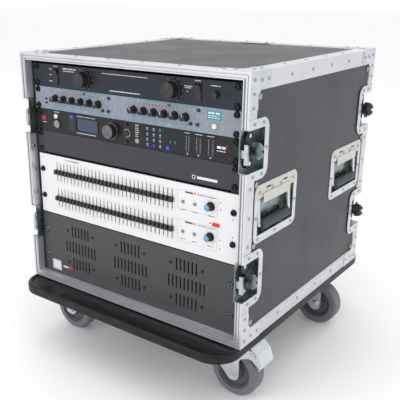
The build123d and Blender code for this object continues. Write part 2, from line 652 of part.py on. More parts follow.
for end_name, end in ENDS.items():
    for side_name, side in SIDES.items():
        corner = f"{end_name}_{side_name}"
        braked = corner in BRAKED
        x, y, trail = side * KINGPIN_X, end * KINGPIN_Y, side
        axle_x = x + trail * TRAIL
        pivot_x = x + trail * PEDAL_PIVOT[0]
        with BuildPart() as fork:
            for face_y in (y - EAR_OUTER, y + EAR_INNER):
                with BuildSketch(Plane.XZ.offset(-face_y)):
                    ear_outline(x, trail, braked)
                extrude(amount=-(EAR_OUTER - EAR_INNER))
            with BuildSketch(Plane.XY.offset(CROWN_TOP)):
                with Locations((x + trail * 1, y)):
                    RectangleRounded(58, 2 * EAR_OUTER, 6)
            extrude(amount=-3)
            with BuildSketch(Plane.XY.offset(CROWN_TOP)):
                with Locations((x, y)):
                    Circle(30)
            extrude(amount=3, taper=12)
            rod("Z", (x, y, CROWN_TOP), KINGPIN_RADIUS + RUNNING_CLEARANCE, 12, Mode.SUBTRACT)
            rod("Y", (axle_x, y, WHEEL_RADIUS), AXLE_RADIUS + 0.1, 60, Mode.SUBTRACT)
            if braked:
                rod("Y", (pivot_x, y, PEDAL_PIVOT[1]), PEDAL_PIN_RADIUS + 0.1, 60, Mode.SUBTRACT)
        with BuildPart() as axle_bolt:
            rod("Y", (axle_x, y, WHEEL_RADIUS), AXLE_RADIUS, 2 * EAR_OUTER + 14)
            with BuildSketch(Plane.XZ.offset(-(y - EAR_OUTER))):
                with Locations((axle_x, WHEEL_RADIUS)):
                    RegularPolygon(9.0, 6)
            extrude(amount=6)
        with BuildPart() as axle_nut:
            with BuildSketch(Plane.XZ.offset(-(y + EAR_OUTER))):
                with Locations((axle_x, WHEEL_RADIUS)):
                    RegularPolygon(9.0, 6)
                    Circle(AXLE_RADIUS + 0.05, mode=Mode.SUBTRACT)
            extrude(amount=-6)
        pieces = [fork, axle_bolt, axle_nut]
        if braked:
            with BuildPart() as pedal_pin:
                rod("Y", (pivot_x, y, PEDAL_PIVOT[1]), PEDAL_PIN_RADIUS, 2 * EAR_OUTER)
                for face_y in (y - EAR_OUTER - 0.6, y + EAR_OUTER + 0.6):
                    rod("Y", (pivot_x, face_y, PEDAL_PIVOT[1]), 4.0, 1.2)
            pieces.append(pedal_pin)
        save_group(f"caster_fork_{corner}", *pieces)

        with BuildPart() as tyre:
            with BuildSketch(Plane.YZ.offset(axle_x)) as tyre_section:
                with Locations((y, WHEEL_RADIUS)):
                    Rectangle(WHEEL_WIDTH, 2 * WHEEL_RADIUS)
                with Locations((y, WHEEL_RADIUS)):
                    Rectangle(WHEEL_WIDTH, 2 * 35, mode=Mode.SUBTRACT)
                with Locations((y, 0)):
                    Rectangle(WHEEL_WIDTH + 2, 2 * WHEEL_RADIUS, mode=Mode.SUBTRACT)
                fillet(tyre_section.vertices().group_by(Axis.Y)[-1], 6)
            revolve(axis=Axis((axle_x, y, WHEEL_RADIUS), (0, 1, 0)))
        with BuildPart() as hub:
            with BuildSketch(Plane.YZ.offset(axle_x)):
                with BuildLine():
                    bore = WHEEL_RADIUS + AXLE_RADIUS + RUNNING_CLEARANCE
                    Polyline(
                        (y - 18.2, bore),
                        (y - 18.2, bore + 6),
                        (y - 15, bore + 9),
                        (y - 8, bore + 12),
                        (y - 8, WHEEL_RADIUS + 28),
                        (y - 14, WHEEL_RADIUS + 31.5),
                        (y - 14, WHEEL_RADIUS + 35),
                        (y + 14, WHEEL_RADIUS + 35),
                        (y + 14, WHEEL_RADIUS + 31.5),
                        (y + 8, WHEEL_RADIUS + 28),
                        (y + 8, bore + 12),
                        (y + 15, bore + 9),
                        (y + 18.2, bore + 6),
                        (y + 18.2, bore),
                        close=True,
                    )
                make_face()
            revolve(axis=Axis((axle_x, y, WHEEL_RADIUS), (0, 1, 0)))
        save_group(f"caster_wheel_{corner}", tyre, hub)

        if braked:
            with BuildPart() as pedal:
                with BuildSketch(Plane.XZ.offset(-(y - EAR_OUTER - 1))):
                    with BuildLine():
                        Polyline(
                            (x + trail * 65, 120),
                            (x + trail * 69, 121.5),
                            (x + trail * 86, 108),
                            (x + trail * 95, 84),
                            (x + trail * 89, 76),
                            (x + trail * 87.5, 77.5),
                            (x + trail * 92, 84),
                            (x + trail * 83.5, 106),
                            (x + trail * 68, 118.5),
                            (x + trail * 65, 117),
                            close=True,
                        )
                    make_face()
                extrude(amount=-2 * (EAR_OUTER + 1))
                for cheek_y in (y - EAR_INNER + 0.6, y + EAR_INNER - 2.6):
                    with BuildSketch(Plane.XZ.offset(-cheek_y)):
                        with BuildLine():
                            Polyline(
                                (x + trail * 66, 97),
                                (x + trail * 68, 93),
                                (x + trail * 84, 80),
                                (x + trail * 89, 76),
                                (x + trail * 92.5, 84),
                                (x + trail * 84, 106.5),
                                (x + trail * 68.5, 118.8),
                                (x + trail * 64, 108),
                                close=True,
                            )
                        make_face()
                    extrude(amount=-2.0)
                rod("Y", (pivot_x, y, PEDAL_PIVOT[1]), 4.6, 2 * EAR_INNER - 3)
                bore_radius = PEDAL_PIN_RADIUS + RUNNING_CLEARANCE
                rod("Y", (pivot_x, y, PEDAL_PIVOT[1]), bore_radius, 60, Mode.SUBTRACT)
            save(pedal, f"brake_pedal_{corner}")

# ---- Rivets ------------------------------------------------------------------------------------
RIVET_RADIUS = 3.4
RIVET_HEIGHT = 1.3


def rivets(plane, spots):
    """Domed rivet heads standing on a plane at the given places."""
    with BuildSketch(plane) as heads:
        with Locations(*spots):
            Circle(RIVET_RADIUS)
    extrude(heads.sketch, amount=RIVET_HEIGHT, taper=32)


brace_spots = ((12, 12), (12, 34), (12, 56), (34, 14), (56, 14))
angle_rivet_y = (-120, -40, 40, 120)
band_rivet_z = (BOARD_TOP + 190, BOARD_TOP + 240, BOARD_TOP + 290)
with BuildPart() as case_rivets:
    for side in SIDES.values():
        on_braces = []
        for end in ENDS.values():
            for edge_z, inward in ((CASE_TOP, -1), (BOARD_TOP, 1)):
                for inset_y, inset_z in brace_spots:
                    on_braces.append((side * end * (HALF_D - inset_y), edge_z + inward * inset_z))
            for z in LATCH_Z:
                for inset_y, dz in ((18, 43), (46, 43), (58.5, 0), (46, -43), (18, -43)):
                    on_braces.append((side * end * (HALF_D - inset_y), z + dz))
        rivets(side_plane(side, HALF_W + PLATE), on_braces)
        on_bands = [(y, CASE_TOP - 15) for y in angle_rivet_y]
        on_bands += [(y, BOARD_TOP + 15) for y in angle_rivet_y]
        on_bands += [(end * (HALF_D - 13), z) for end in ENDS.values() for z in band_rivet_z]
        rivets(side_plane(side, HALF_W), on_bands)
        on_handles = []
        for end in ENDS.values():
            for dy in (-60, -15, 15, 60):
                on_handles.append((end * HANDLE_Y + dy, HANDLE_Z + 39))
            for dy in (-60, 0, 60):
                on_handles.append((end * HANDLE_Y + dy, HANDLE_Z - 45))
            for dy in (-70, 70):
                on_handles.append((end * HANDLE_Y + dy, HANDLE_Z - 5))
        rivets(side_plane(side, PLY_OUTER + PLATE), on_handles)
        on_nose = [(-side * end * (HALF_D - 9), z) for end in ENDS.values() for z in band_rivet_z]
        rivets(side_plane(-side, -(HALF_W - NOSE_WIDTH)), on_nose)
    on_top_braces = []
    for side in SIDES.values():
        for end in ENDS.values():
            for inset_x, inset_y in ((13, 34), (13, 56), (34, 12), (56, 12)):
                on_top_braces.append((side * (HALF_W - inset_x), end * (HALF_D - inset_y)))
    on_top_braces += [(x, HALF_D - 14) for x in (JOINING_PLATE_X[0] + 14, JOINING_PLATE_X[1] - 14)]
    rivets(Plane.XY.offset(CASE_TOP + PLATE), on_top_braces)
    on_top = [(side * (HALF_W - 15), y) for side in SIDES.values() for y in angle_rivet_y]
    on_top += [(x, -(HALF_D - 13)) for x in angle_rivet_y]
    on_top += [(x, HALF_D - 13) for x in (angle_rivet_y[0], angle_rivet_y[-1])]
    rivets(Plane.XY.offset(CASE_TOP), on_top)
save(case_rivets, "case_rivets")

# ---- Rack units: front panels -------------------------------------------------------------------
VENT_UNIT, EQ_UNIT, BLANK_UNIT, PROCESSOR_UNIT, COMPRESSOR_UNIT, DIMMER_UNIT = 0, 3, 6, 7, 8, 9
THREE_UNIT_HOLES = (38.1, 95.25)
ONE_UNIT_HOLES = (6.35, 38.1)
FRONT = Plane.XZ.offset(PANEL_Y)


def screw_heights(unit, count):
    """Heights of the rack screws of a panel that is count units tall."""
    offsets = THREE_UNIT_HOLES if count == 3 else ONE_UNIT_HOLES
    return [unit_z(unit) + offset for offset in offsets]


def panel_face(unit, count, below=0.4, above=0.4):
    """A panel's outline with its four screw slots, drawn in the sketch being built."""
    low, high = unit_z(unit) + below, unit_z(unit + count) - above
    with Locations((0, (low + high) / 2)):
        Rectangle(PANEL_WIDTH, high - low)
    with Locations(*[(s * HOLE_SPACING / 2, z) for s in (-1, 1) for z in screw_heights(unit, count)]):
        SlotOverall(10, 7, mode=Mode.SUBTRACT)


DIMMER_Z = unit_z(DIMMER_UNIT) + RACK_UNIT / 2
DIMMER_KNOB_X = {"left": -103.5, "right": 104.5}
ROCKER_X = {"left": -180.0, "right": 156.5}
ROCKER_OPENING = (11.6, 29.0)
BREAKER_X = 191.0
with BuildPart() as dimmer_panel:
    with BuildSketch(FRONT):
        panel_face(DIMMER_UNIT, 1)
        with Locations(*[(x, DIMMER_Z) for x in ROCKER_X.values()]):
            Rectangle(*ROCKER_OPENING, mode=Mode.SUBTRACT)
        with Locations(*[(x, DIMMER_Z) for x in DIMMER_KNOB_X.values()]):
            Circle(4.2, mode=Mode.SUBTRACT)
        with Locations((BREAKER_X, DIMMER_Z - 1)):
            Circle(6.5, mode=Mode.SUBTRACT)
    extrude(amount=-PANEL_THICKNESS)
save(dimmer_panel, "dimmer_panel")

with BuildPart() as compressor_panel:
    with BuildSketch(FRONT):
        panel_face(COMPRESSOR_UNIT, 1)
    extrude(amount=-PANEL_THICKNESS)
save(compressor_panel, "compressor_panel")

PROCESSOR_Z = unit_z(PROCESSOR_UNIT) + RACK_UNIT / 2
SCREEN_X, SCREEN_SIZE = -101.5, (54.0, 25.0)
ENCODER_X = -36.0
with BuildPart() as processor_panel:
    with BuildSketch(FRONT):
        panel_face(PROCESSOR_UNIT, 1)
        with Locations((SCREEN_X, PROCESSOR_Z)):
            Rectangle(*SCREEN_SIZE, mode=Mode.SUBTRACT)
        with Locations((ENCODER_X, PROCESSOR_Z)):
            Circle(4.2, mode=Mode.SUBTRACT)
    extrude(amount=-PANEL_THICKNESS)
save(processor_panel, "processor_panel")

with BuildPart() as processor_screen:
    with BuildSketch(Plane.XZ.offset(PANEL_Y - 0.8)):
        with Locations((SCREEN_X, PROCESSOR_Z)):
            Rectangle(SCREEN_SIZE[0] - 0.6, SCREEN_SIZE[1] - 0.6)
    extrude(amount=-2.0)
save(processor_screen, "processor_screen")

with BuildPart() as blank_panel:
    with BuildSketch(FRONT):
        panel_face(BLANK_UNIT, 1)
    extrude(amount=-PANEL_THICKNESS)
    block(
        (-PANEL_WIDTH / 2 + 22, PANEL_WIDTH / 2 - 22),
        (-RAIL_Y, -RAIL_Y + 12),
        (unit_z(BLANK_UNIT) + 0.4, unit_z(BLANK_UNIT) + 1.9),
    )
    block(
        (-PANEL_WIDTH / 2 + 22, PANEL_WIDTH / 2 - 22),
        (-RAIL_Y, -RAIL_Y + 12),
        (unit_z(BLANK_UNIT + 1) - 1.9, unit_z(BLANK_UNIT + 1) - 0.4),
    )
save(blank_panel, "blank_panel")

FADERS = 31
FADER_PITCH = 9.82
FADER_X0 = -191.2
FADER_TRAVEL = 36.0
FADER_CAP = (7.4, 9.4)
FADER_ROWS = {"lower": unit_z(0) + 172.2, "upper": unit_z(0) + 228.0}
EQ_KNOB_X = 186.5
fader_xs = [FADER_X0 + i * FADER_PITCH for i in range(FADERS)]
with BuildPart() as equaliser_panel:
    with BuildSketch(FRONT):
        panel_face(EQ_UNIT, 3, below=2.0, above=5.5)
        with Locations(*[(x, z) for x in fader_xs for z in FADER_ROWS.values()]):
            SlotOverall(FADER_TRAVEL + 2.6, 2.6, rotation=90, mode=Mode.SUBTRACT)
        with Locations(*[(EQ_KNOB_X, z + 3) for z in FADER_ROWS.values()]):
            Circle(4.0, mode=Mode.SUBTRACT)
    extrude(amount=-PANEL_THICKNESS)
save(equaliser_panel, "equaliser_panel")

VENT_GROUPS = (-134.0, 1.0, 136.0)
VENT_PITCH = 8.9
VENT_ROWS = ((104.5, 6), (68.5, 10), (33.0, 6))
VENT_SLOT = (25.0, 3.4)
with BuildPart() as vent_panel:
    with BuildSketch(FRONT):
        panel_face(VENT_UNIT, 3)
        for group_x in VENT_GROUPS:
            for row_height, slots in VENT_ROWS:
                with Locations((group_x, unit_z(0) + row_height)):
                    with GridLocations(VENT_PITCH, 1, slots, 1):
                        SlotOverall(*VENT_SLOT, rotation=90, mode=Mode.SUBTRACT)
            with Locations((group_x, unit_z(0) + 69)):
                with GridLocations(71, 71, 2, 2):
                    Circle(1.6, mode=Mode.SUBTRACT)
    extrude(amount=-PANEL_THICKNESS)
save(vent_panel, "vent_panel")

# ---- Cooling fans behind the vents ------------------------------------------------------------------
FAN_SIZE = 80.0
FAN_DEPTH = 25.0
FAN_HOLE_SPACING = 71.0
FAN_BLADES = 7
FAN_Z = unit_z(0) + 69.0
with BuildPart() as cooling_fans:
    for fan_x in VENT_GROUPS:
        with BuildSketch(Plane.XZ.offset(RAIL_Y)):
            with Locations((fan_x, FAN_Z)):
                RectangleRounded(FAN_SIZE, FAN_SIZE, 4)
                Circle(38, mode=Mode.SUBTRACT)
                with GridLocations(FAN_HOLE_SPACING, FAN_HOLE_SPACING, 2, 2):
                    Circle(1.6, mode=Mode.SUBTRACT)
        extrude(amount=-FAN_DEPTH)
        with BuildSketch(Plane.XZ.offset(RAIL_Y - FAN_DEPTH + 3)):
            with Locations((fan_x, FAN_Z)):
                Circle(17)
                Rectangle(78, 4)
                Rectangle(4, 78)
        extrude(amount=-3)
        with BuildSketch(Plane.XZ.offset(RAIL_Y - 3)):
            with Locations((fan_x, FAN_Z)):
                Circle(16)
                with PolarLocations(25, FAN_BLADES):
                    Rectangle(22, 9, rotation=25)
        extrude(amount=-(FAN_DEPTH - 6.5))
        with BuildSketch(FRONT):
            with Locations((fan_x, FAN_Z)):
                with GridLocations(FAN_HOLE_SPACING, FAN_HOLE_SPACING, 2, 2):
                    Circle(2.7)
        extrude(amount=1.2)
        with BuildSketch(FRONT):
            with Locations((fan_x, FAN_Z)):
                with GridLocations(FAN_HOLE_SPACING, FAN_HOLE_SPACING, 2, 2):
                    Circle(1.45)
        extrude(amount=-18)
save(cooling_fans, "cooling_fans")

# ---- Rack units: bodies behind the panels --------------------------------------------------------
CHASSIS_HALF_W = 218.0
CHASSIS_WALL = 1.2
CHASSIS = (
    (DIMMER_UNIT, 1, 210.0),
    (COMPRESSOR_UNIT, 1, 160.0),
    (PROCESSOR_UNIT, 1, 150.0),
    (EQ_UNIT, 3, 190.0),
)
with BuildPart() as unit_chassis:
    for unit, count, depth in CHASSIS:
        low, high = unit_z(unit) + 1.0, unit_z(unit + count) - 1.0
        block((-CHASSIS_HALF_W, CHASSIS_HALF_W), (-RAIL_Y, -RAIL_Y + depth), (low, high))
        block(
            (-CHASSIS_HALF_W + CHASSIS_WALL, CHASSIS_HALF_W - CHASSIS_WALL),
            (-RAIL_Y, -RAIL_Y + depth - CHASSIS_WALL),
            (low + CHASSIS_WALL, high - CHASSIS_WALL),
            mode=Mode.SUBTRACT,
        )
save(unit_chassis, "unit_chassis")

# ---- Rack screws -------------------------------------------------------------------------------
PANEL_UNITS = (
    (VENT_UNIT, 3),
    (EQ_UNIT, 3),
    (BLANK_UNIT, 1),
    (PROCESSOR_UNIT, 1),
    (COMPRESSOR_UNIT, 1),
    (DIMMER_UNIT, 1),
)
rack_screw_spots = [
    (s * HOLE_SPACING / 2, z)
    for unit, count in PANEL_UNITS
    for z in screw_heights(unit, count)
    for s in (-1, 1)
]
with BuildPart() as rack_screws:
    front_studs(rack_screw_spots, 0, 6.1, 4.6, 3.4)
    with BuildSketch(Plane.XZ.offset(PANEL_Y + 3.4)):
        with Locations(*rack_screw_spots):
            Circle(3.2)
    extrude(amount=-1.6, mode=Mode.SUBTRACT)
    with BuildSketch(FRONT):
        with Locations(*rack_screw_spots):
            Circle(2.9)
    extrude(amount=-14)
save(rack_screws, "rack_screws")


# ---- Controls ------------------------------------------------------------------------------------
def knob(x, z, skirt_radius, skirt_depth, radius, depth, shaft_radius, flutes):
    """A turned control knob with its skirt, flutes, pointer groove and shaft, on the panel's face."""
    face = PANEL_Y + 0.4
    with BuildSketch(Plane.XZ.offset(face)) as skirt:
        with Locations((x, z)):
            Circle(skirt_radius)
    extrude(skirt.sketch, amount=skirt_depth)
    with BuildSketch(Plane.XZ.offset(face + skirt_depth)) as grip_section:
        with Locations((x, z)):
            Circle(radius)
        if flutes:
            with Locations((x, z)):
                with PolarLocations(radius + 0.5, flutes):
                    Circle(1.1, mode=Mode.SUBTRACT)
    extrude(grip_section.sketch, amount=depth - skirt_depth, taper=3)
    with BuildSketch(Plane.XZ.offset(face + depth)) as pointer:
        with Locations((x, z + radius * 0.55)):
            Rectangle(1.4, radius * 0.7)
    extrude(pointer.sketch, amount=-0.8, mode=Mode.SUBTRACT)
    with BuildSketch(Plane.XZ.offset(face)) as shaft:
        with Locations((x, z)):
            Circle(shaft_radius)
    extrude(shaft.sketch, amount=-15)


for name, x in DIMMER_KNOB_X.items():
    with BuildPart() as dimmer_knob:
        knob(x, DIMMER_Z, 18.6, 3.5, 14.5, 17.0, 3.0, 18)
    save(dimmer_knob, f"dimmer_knob_{name}")

with BuildPart() as encoder_knob:
    knob(ENCODER_X, PROCESSOR_Z, 15.6, 2.0, 13.5, 14.0, 3.0, 24)
save(encoder_knob, "encoder_knob")

for name, z in FADER_ROWS.items():
    with BuildPart() as level_knob:
        knob(EQ_KNOB_X, z + 3, 8.2, 1.5, 6.6, 12.0, 3.0, 10)
    save(level_knob, f"level_knob_{name}")

for name, z in FADER_ROWS.items():
    with BuildPart() as fader_bank:
        with BuildSketch(Plane.XZ.offset(PANEL_Y + 0.5)):
            with Locations(*[(x, z) for x in fader_xs]):
                Rectangle(*FADER_CAP)
        extrude(amount=7.0, taper=6)
        with BuildSketch(Plane.XZ.offset(PANEL_Y + 7.5)):
            with Locations(*[(x, z) for x in fader_xs]):
                Rectangle(8.0, 1.0)
        extrude(amount=-0.8, mode=Mode.SUBTRACT)
        with BuildSketch(Plane.XZ.offset(PANEL_Y + 0.5)):
            with Locations(*[(x, z) for x in fader_xs]):
                Rectangle(1.4, 4.0)
        extrude(amount=-8.5)
    save(fader_bank, f"fader_bank_{name}")

CHANNEL_SPLIT = 200.6
KNOB_PITCH = 22.9
COMPRESSOR_KNOB_X0 = -183.3
COMPRESSOR_KNOB_Z = unit_z(COMPRESSOR_UNIT) + 23.0
compressor_knob_xs = [
    COMPRESSOR_KNOB_X0 + channel * CHANNEL_SPLIT + i * KNOB_PITCH for channel in (0, 1) for i in range(6)
]
ROCKER_TILT = 7.0
for name, x in ROCKER_X.items():
    with BuildPart() as rocker:
        upright = Plane(origin=(x - 5.3, -PANEL_Y + 2, DIMMER_Z), x_dir=(0, 1, 0), z_dir=(1, 0, 0))
        tilted = upright.rotated((ROCKER_TILT, 0, 0))
        with BuildSketch(tilted):
            with BuildLine():
                Polyline(
                    (8, -9),
                    (8, 9),
                    (-1, 13.5),
                    (-5.2, 13.3),
                    (-3.6, 0),
                    (-5.2, -13.3),
                    (-1, -13.5),
                    close=True,
                )
            make_face()
        extrude(amount=10.6)
        rod("X", (x, -PANEL_Y + 2, DIMMER_Z), 1.6, 11.2)
    save(rocker, f"rocker_{name}")

with BuildPart() as breaker_button:
    rod("Y", (BREAKER_X, -PANEL_Y + 1.0, DIMMER_Z - 1), 6.1, 14)
    fillet(breaker_button.edges().sort_by(Axis.Y)[0], 1.2)
save(breaker_button, "breaker_button")

MODE_BUTTON_X = -0.3
COMPRESSOR_Z = unit_z(COMPRESSOR_UNIT)
round_controls = [
    (-209.0, COMPRESSOR_Z + 20.6, 1.8),
    (-209.0, COMPRESSOR_Z + 12.9, 1.8),
    (MODE_BUTTON_X, PROCESSOR_Z, 6.0),
    (MODE_BUTTON_X, PROCESSOR_Z + 16, 2.6),
    (MODE_BUTTON_X, PROCESSOR_Z - 16.5, 2.6),
    (-184.0, PROCESSOR_Z + 10.5, 4.4),
    (-182.0, PROCESSOR_Z - 5.0, 7.6),
    (191.0, COMPRESSOR_Z + 14.4, 4.4),
]
square_controls = [
    (x + channel * CHANNEL_SPLIT, COMPRESSOR_Z + dz)
    for channel in (0, 1)
    for x, dz in ((-42.0, 37.1), (-57.8, 12.8), (-43.7, 12.9))
]
mini_switches = [(x, z) for x in (128.0, 153.4) for z in FADER_ROWS.values()]
with BuildPart() as panel_controls:
    knob_spots = [(x, COMPRESSOR_KNOB_Z) for x in compressor_knob_xs]
    front_studs(knob_spots, 0, 8.0, 7.6, 2.5)
    front_studs(knob_spots, 2.5, 6.6, 5.8, 10.0)
    for x, z, radius in round_controls:
        rod("Y", (x, -PANEL_Y - 1.6, z), radius, 3.2)
    with BuildSketch(FRONT):
        with Locations(*square_controls):
            Rectangle(5.2, 5.2)
        with Locations(*mini_switches):
            Rectangle(5.0, 5.0)
    extrude(amount=3.0, taper=8)
    with BuildSketch(FRONT):
        for x in ROCKER_X.values():
            with Locations((x, DIMMER_Z)):
                Rectangle(14.6, 32.5)
                Rectangle(*ROCKER_OPENING, mode=Mode.SUBTRACT)
        with Locations((BREAKER_X, DIMMER_Z - 1)):
            Circle(8.4)
            Circle(6.5, mode=Mode.SUBTRACT)
    extrude(amount=1.6)
    with BuildSketch(FRONT):
        with Locations((198.2, unit_z(0) + 199.5)):
            Rectangle(13.8, 6.0)
    extrude(amount=3.4, taper=8)
save(panel_controls, "panel_controls")
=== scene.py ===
import math
import random

import bmesh
import bpy
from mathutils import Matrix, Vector


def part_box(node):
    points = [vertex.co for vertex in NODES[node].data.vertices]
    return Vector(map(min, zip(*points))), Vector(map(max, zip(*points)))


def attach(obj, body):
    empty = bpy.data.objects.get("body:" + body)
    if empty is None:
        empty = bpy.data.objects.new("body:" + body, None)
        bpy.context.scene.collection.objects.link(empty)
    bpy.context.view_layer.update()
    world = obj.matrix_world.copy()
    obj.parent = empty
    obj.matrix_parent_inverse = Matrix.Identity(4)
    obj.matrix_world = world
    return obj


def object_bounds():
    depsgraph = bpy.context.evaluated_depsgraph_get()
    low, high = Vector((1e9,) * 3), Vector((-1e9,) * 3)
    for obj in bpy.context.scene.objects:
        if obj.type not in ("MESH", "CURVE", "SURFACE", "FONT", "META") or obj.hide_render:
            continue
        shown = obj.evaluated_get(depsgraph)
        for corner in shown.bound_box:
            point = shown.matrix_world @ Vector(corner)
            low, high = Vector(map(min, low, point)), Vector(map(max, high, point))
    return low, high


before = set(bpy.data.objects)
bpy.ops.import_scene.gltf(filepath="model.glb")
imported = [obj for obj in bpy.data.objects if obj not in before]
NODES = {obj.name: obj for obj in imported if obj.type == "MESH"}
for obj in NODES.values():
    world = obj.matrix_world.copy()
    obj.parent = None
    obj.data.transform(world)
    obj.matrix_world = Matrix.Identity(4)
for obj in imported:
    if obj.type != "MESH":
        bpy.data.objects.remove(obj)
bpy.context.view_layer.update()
MM = 0.001
FRONT, REAR, LEFT, RIGHT = (0, -1), (0, 1), (-1, 0), (1, 0)


# ---- Materials -------------------------------------------------------------------------------
def srgb(code):
    """A linear colour from a six-digit code."""
    parts = [int(code[i:i + 2], 16) / 255 for i in (0, 2, 4)]
    return tuple(p / 12.92 if p < 0.04045 else ((p + 0.055) / 1.055) ** 2.4 for p in parts) + (1.0,)


def shaded(colour, share):
    """The colour made darker (share below 1) or lighter."""
    return tuple(min(1.0, c * share) for c in colour[:3]) + (1.0,)


def surface(name, code, rough, metal=0.0, shift=0.12, patch=18.0, rough_shift=0.08,
            grain=1400.0, height=0.00006, stretch=(1, 1, 1), specular=0.5, coat=0.0,
            pebble=None, speckle=None, glow=0.0):
    """A finish with patchy colour, uneven gloss and a fine grain, all worked out from its place."""
    mat = bpy.data.materials.new(name)
    mat.use_nodes = True
    tree = mat.node_tree
    shader = tree.nodes["Principled BSDF"]
    new, link = tree.nodes.new, tree.links.new
    colour = srgb(code)

    place = new("ShaderNodeTexCoord")
    mapping = new("ShaderNodeMapping")
    mapping.inputs["Scale"].default_value = stretch
    link(place.outputs["Object"], mapping.inputs["Vector"])

    patches = new("ShaderNodeTexNoise")
    patches.inputs["Scale"].default_value = patch
    patches.inputs["Detail"].default_value = 6.0
    patches.inputs["Roughness"].default_value = 0.62
    link(mapping.outputs["Vector"], patches.inputs["Vector"])
    ramp = new("ShaderNodeValToRGB")
    ramp.color_ramp.elements[0].position = 0.3
    ramp.color_ramp.elements[0].color = shaded(colour, 1 - shift)
    ramp.color_ramp.elements[1].position = 0.7
    ramp.color_ramp.elements[1].color = shaded(colour, 1 + shift)
    link(patches.outputs["Fac"], ramp.inputs["Fac"])
    tint = ramp.outputs["Color"]

    if speckle:
        other, size, amount = speckle
        dots = new("ShaderNodeTexNoise")
        dots.inputs["Scale"].default_value = size
        dots.inputs["Detail"].default_value = 2.0
        link(mapping.outputs["Vector"], dots.inputs["Vector"])
        cut = new("ShaderNodeMapRange")
        cut.inputs["From Min"].default_value = 0.5
        cut.inputs["From Max"].default_value = 0.62
        cut.inputs["To Max"].default_value = amount
        link(dots.outputs["Fac"], cut.inputs["Value"])
        mix = new("ShaderNodeMix")
        mix.data_type = "RGBA"
        mix.inputs["B"].default_value = srgb(other)
        link(cut.outputs["Result"], mix.inputs["Factor"])
        link(tint, mix.inputs["A"])
        tint = mix.outputs["Result"]
    link(tint, shader.inputs["Base Color"])

    gloss = new("ShaderNodeMapRange")
    gloss.inputs["From Min"].default_value = 0.3
    gloss.inputs["From Max"].default_value = 0.7
    gloss.inputs["To Min"].default_value = max(0.04, rough - rough_shift)
    gloss.inputs["To Max"].default_value = min(1.0, rough + rough_shift)
    link(patches.outputs["Fac"], gloss.inputs["Value"])
    link(gloss.outputs["Result"], shader.inputs["Roughness"])

    fine = new("ShaderNodeTexNoise")
    fine.inputs["Scale"].default_value = grain
    fine.inputs["Detail"].default_value = 3.0
    link(mapping.outputs["Vector"], fine.inputs["Vector"])
    bump = new("ShaderNodeBump")
    bump.inputs["Strength"].default_value = 1.0
    bump.inputs["Distance"].default_value = height
    link(fine.outputs["Fac"], bump.inputs["Height"])
    if pebble:
        cells = new("ShaderNodeTexVoronoi")
        cells.feature = "SMOOTH_F1"
        cells.inputs["Scale"].default_value = pebble[0]
        link(mapping.outputs["Vector"], cells.inputs["Vector"])
        dimple = new("ShaderNodeBump")
        dimple.inputs["Strength"].default_value = 1.0
        dimple.inputs["Distance"].default_value = pebble[1]
        dimple.invert = True
        link(cells.outputs["Distance"], dimple.inputs["Height"])
        link(bump.outputs["Normal"], dimple.inputs["Normal"])
        bump = dimple
    link(bump.outputs["Normal"], shader.inputs["Normal"])

    shader.inputs["Metallic"].default_value = metal
    shader.inputs["Specular IOR Level"].default_value = specular
    shader.inputs["Coat Weight"].default_value = coat
    if glow:
        link(tint, shader.inputs["Emission Color"])
        shader.inputs["Emission Strength"].default_value = glow
    return mat


def display(name):
    """A small lit display: pale blue text-like rows on deep blue, under glass."""
    mat = surface(name, "0d1b36", 0.12, shift=0.3, patch=60, coat=0.4)
    tree = mat.node_tree
    shader = tree.nodes["Principled BSDF"]
    new, link = tree.nodes.new, tree.links.new
    place = new("ShaderNodeTexCoord")
    turn = new("ShaderNodeMapping")
    turn.inputs["Rotation"].default_value = (math.radians(90), 0, 0)
    link(place.outputs["Object"], turn.inputs["Vector"])
    rows = new("ShaderNodeTexBrick")
    rows.inputs["Color1"].default_value = srgb("35598f")
    rows.inputs["Color2"].default_value = srgb("1a3464")
    rows.inputs["Mortar"].default_value = srgb("12264a")
    rows.inputs["Scale"].default_value = 260.0
    rows.inputs["Mortar Size"].default_value = 0.055
    rows.inputs["Brick Width"].default_value = 1.3
    rows.inputs["Row Height"].default_value = 0.62
    link(turn.outputs["Vector"], rows.inputs["Vector"])
    link(rows.outputs["Color"], shader.inputs["Emission Color"])
    shader.inputs["Emission Strength"].default_value = 0.3
    return mat


LAMINATE = surface("laminate", "2f2e36", 0.46, shift=0.07, patch=9, grain=2600, height=0.00005,
                   pebble=(620, 0.00022), specular=0.55)
BOARD = surface("board_paint", "08090c", 0.42, shift=0.25, patch=14, grain=900,
                height=0.00016, specular=0.28, stretch=(0.25, 1, 1), pebble=(240, 0.00012),
                speckle=("2a2c32", 130, 0.4))
PLY_EDGE = surface("ply_edge", "23201e", 0.75, shift=0.25, patch=40, stretch=(1, 1, 14), height=0.0002)
ALUMINIUM = surface("aluminium", "cfcfd4", 0.36, metal=0.6, shift=0.05, patch=12, rough_shift=0.05,
                    grain=3000, height=0.000003)
ZINC = surface("zinc", "ccd1d6", 0.27, metal=0.9, shift=0.10, patch=55, rough_shift=0.10,
               grain=1600, height=0.00003)
DULL_ZINC = surface("dull_zinc", "b6bcc4", 0.38, metal=1.0, shift=0.14, patch=70, rough_shift=0.12,
                    grain=1800, height=0.00006)
# Zinc darkened as painted shade for the insides of the latch and handle dishes.
ZINC_PAINTED_SHADE = surface("zinc_painted_shade", "8a9694", 0.26, metal=0.9, shift=0.35, patch=70, rough_shift=0.1,
                    grain=1500, height=0.00005)
YELLOW_ZINC = surface("yellow_zinc", "cbcac3", 0.32, metal=0.9, shift=0.12, patch=60, rough_shift=0.1,
                      grain=1500, height=0.00005, speckle=("b9b4a2", 60, 0.4))
OILED_ZINC = surface("oiled_zinc", "7f878c", 0.34, metal=1.0, shift=0.4, patch=110, rough_shift=0.15,
                     grain=1500, height=0.00006)
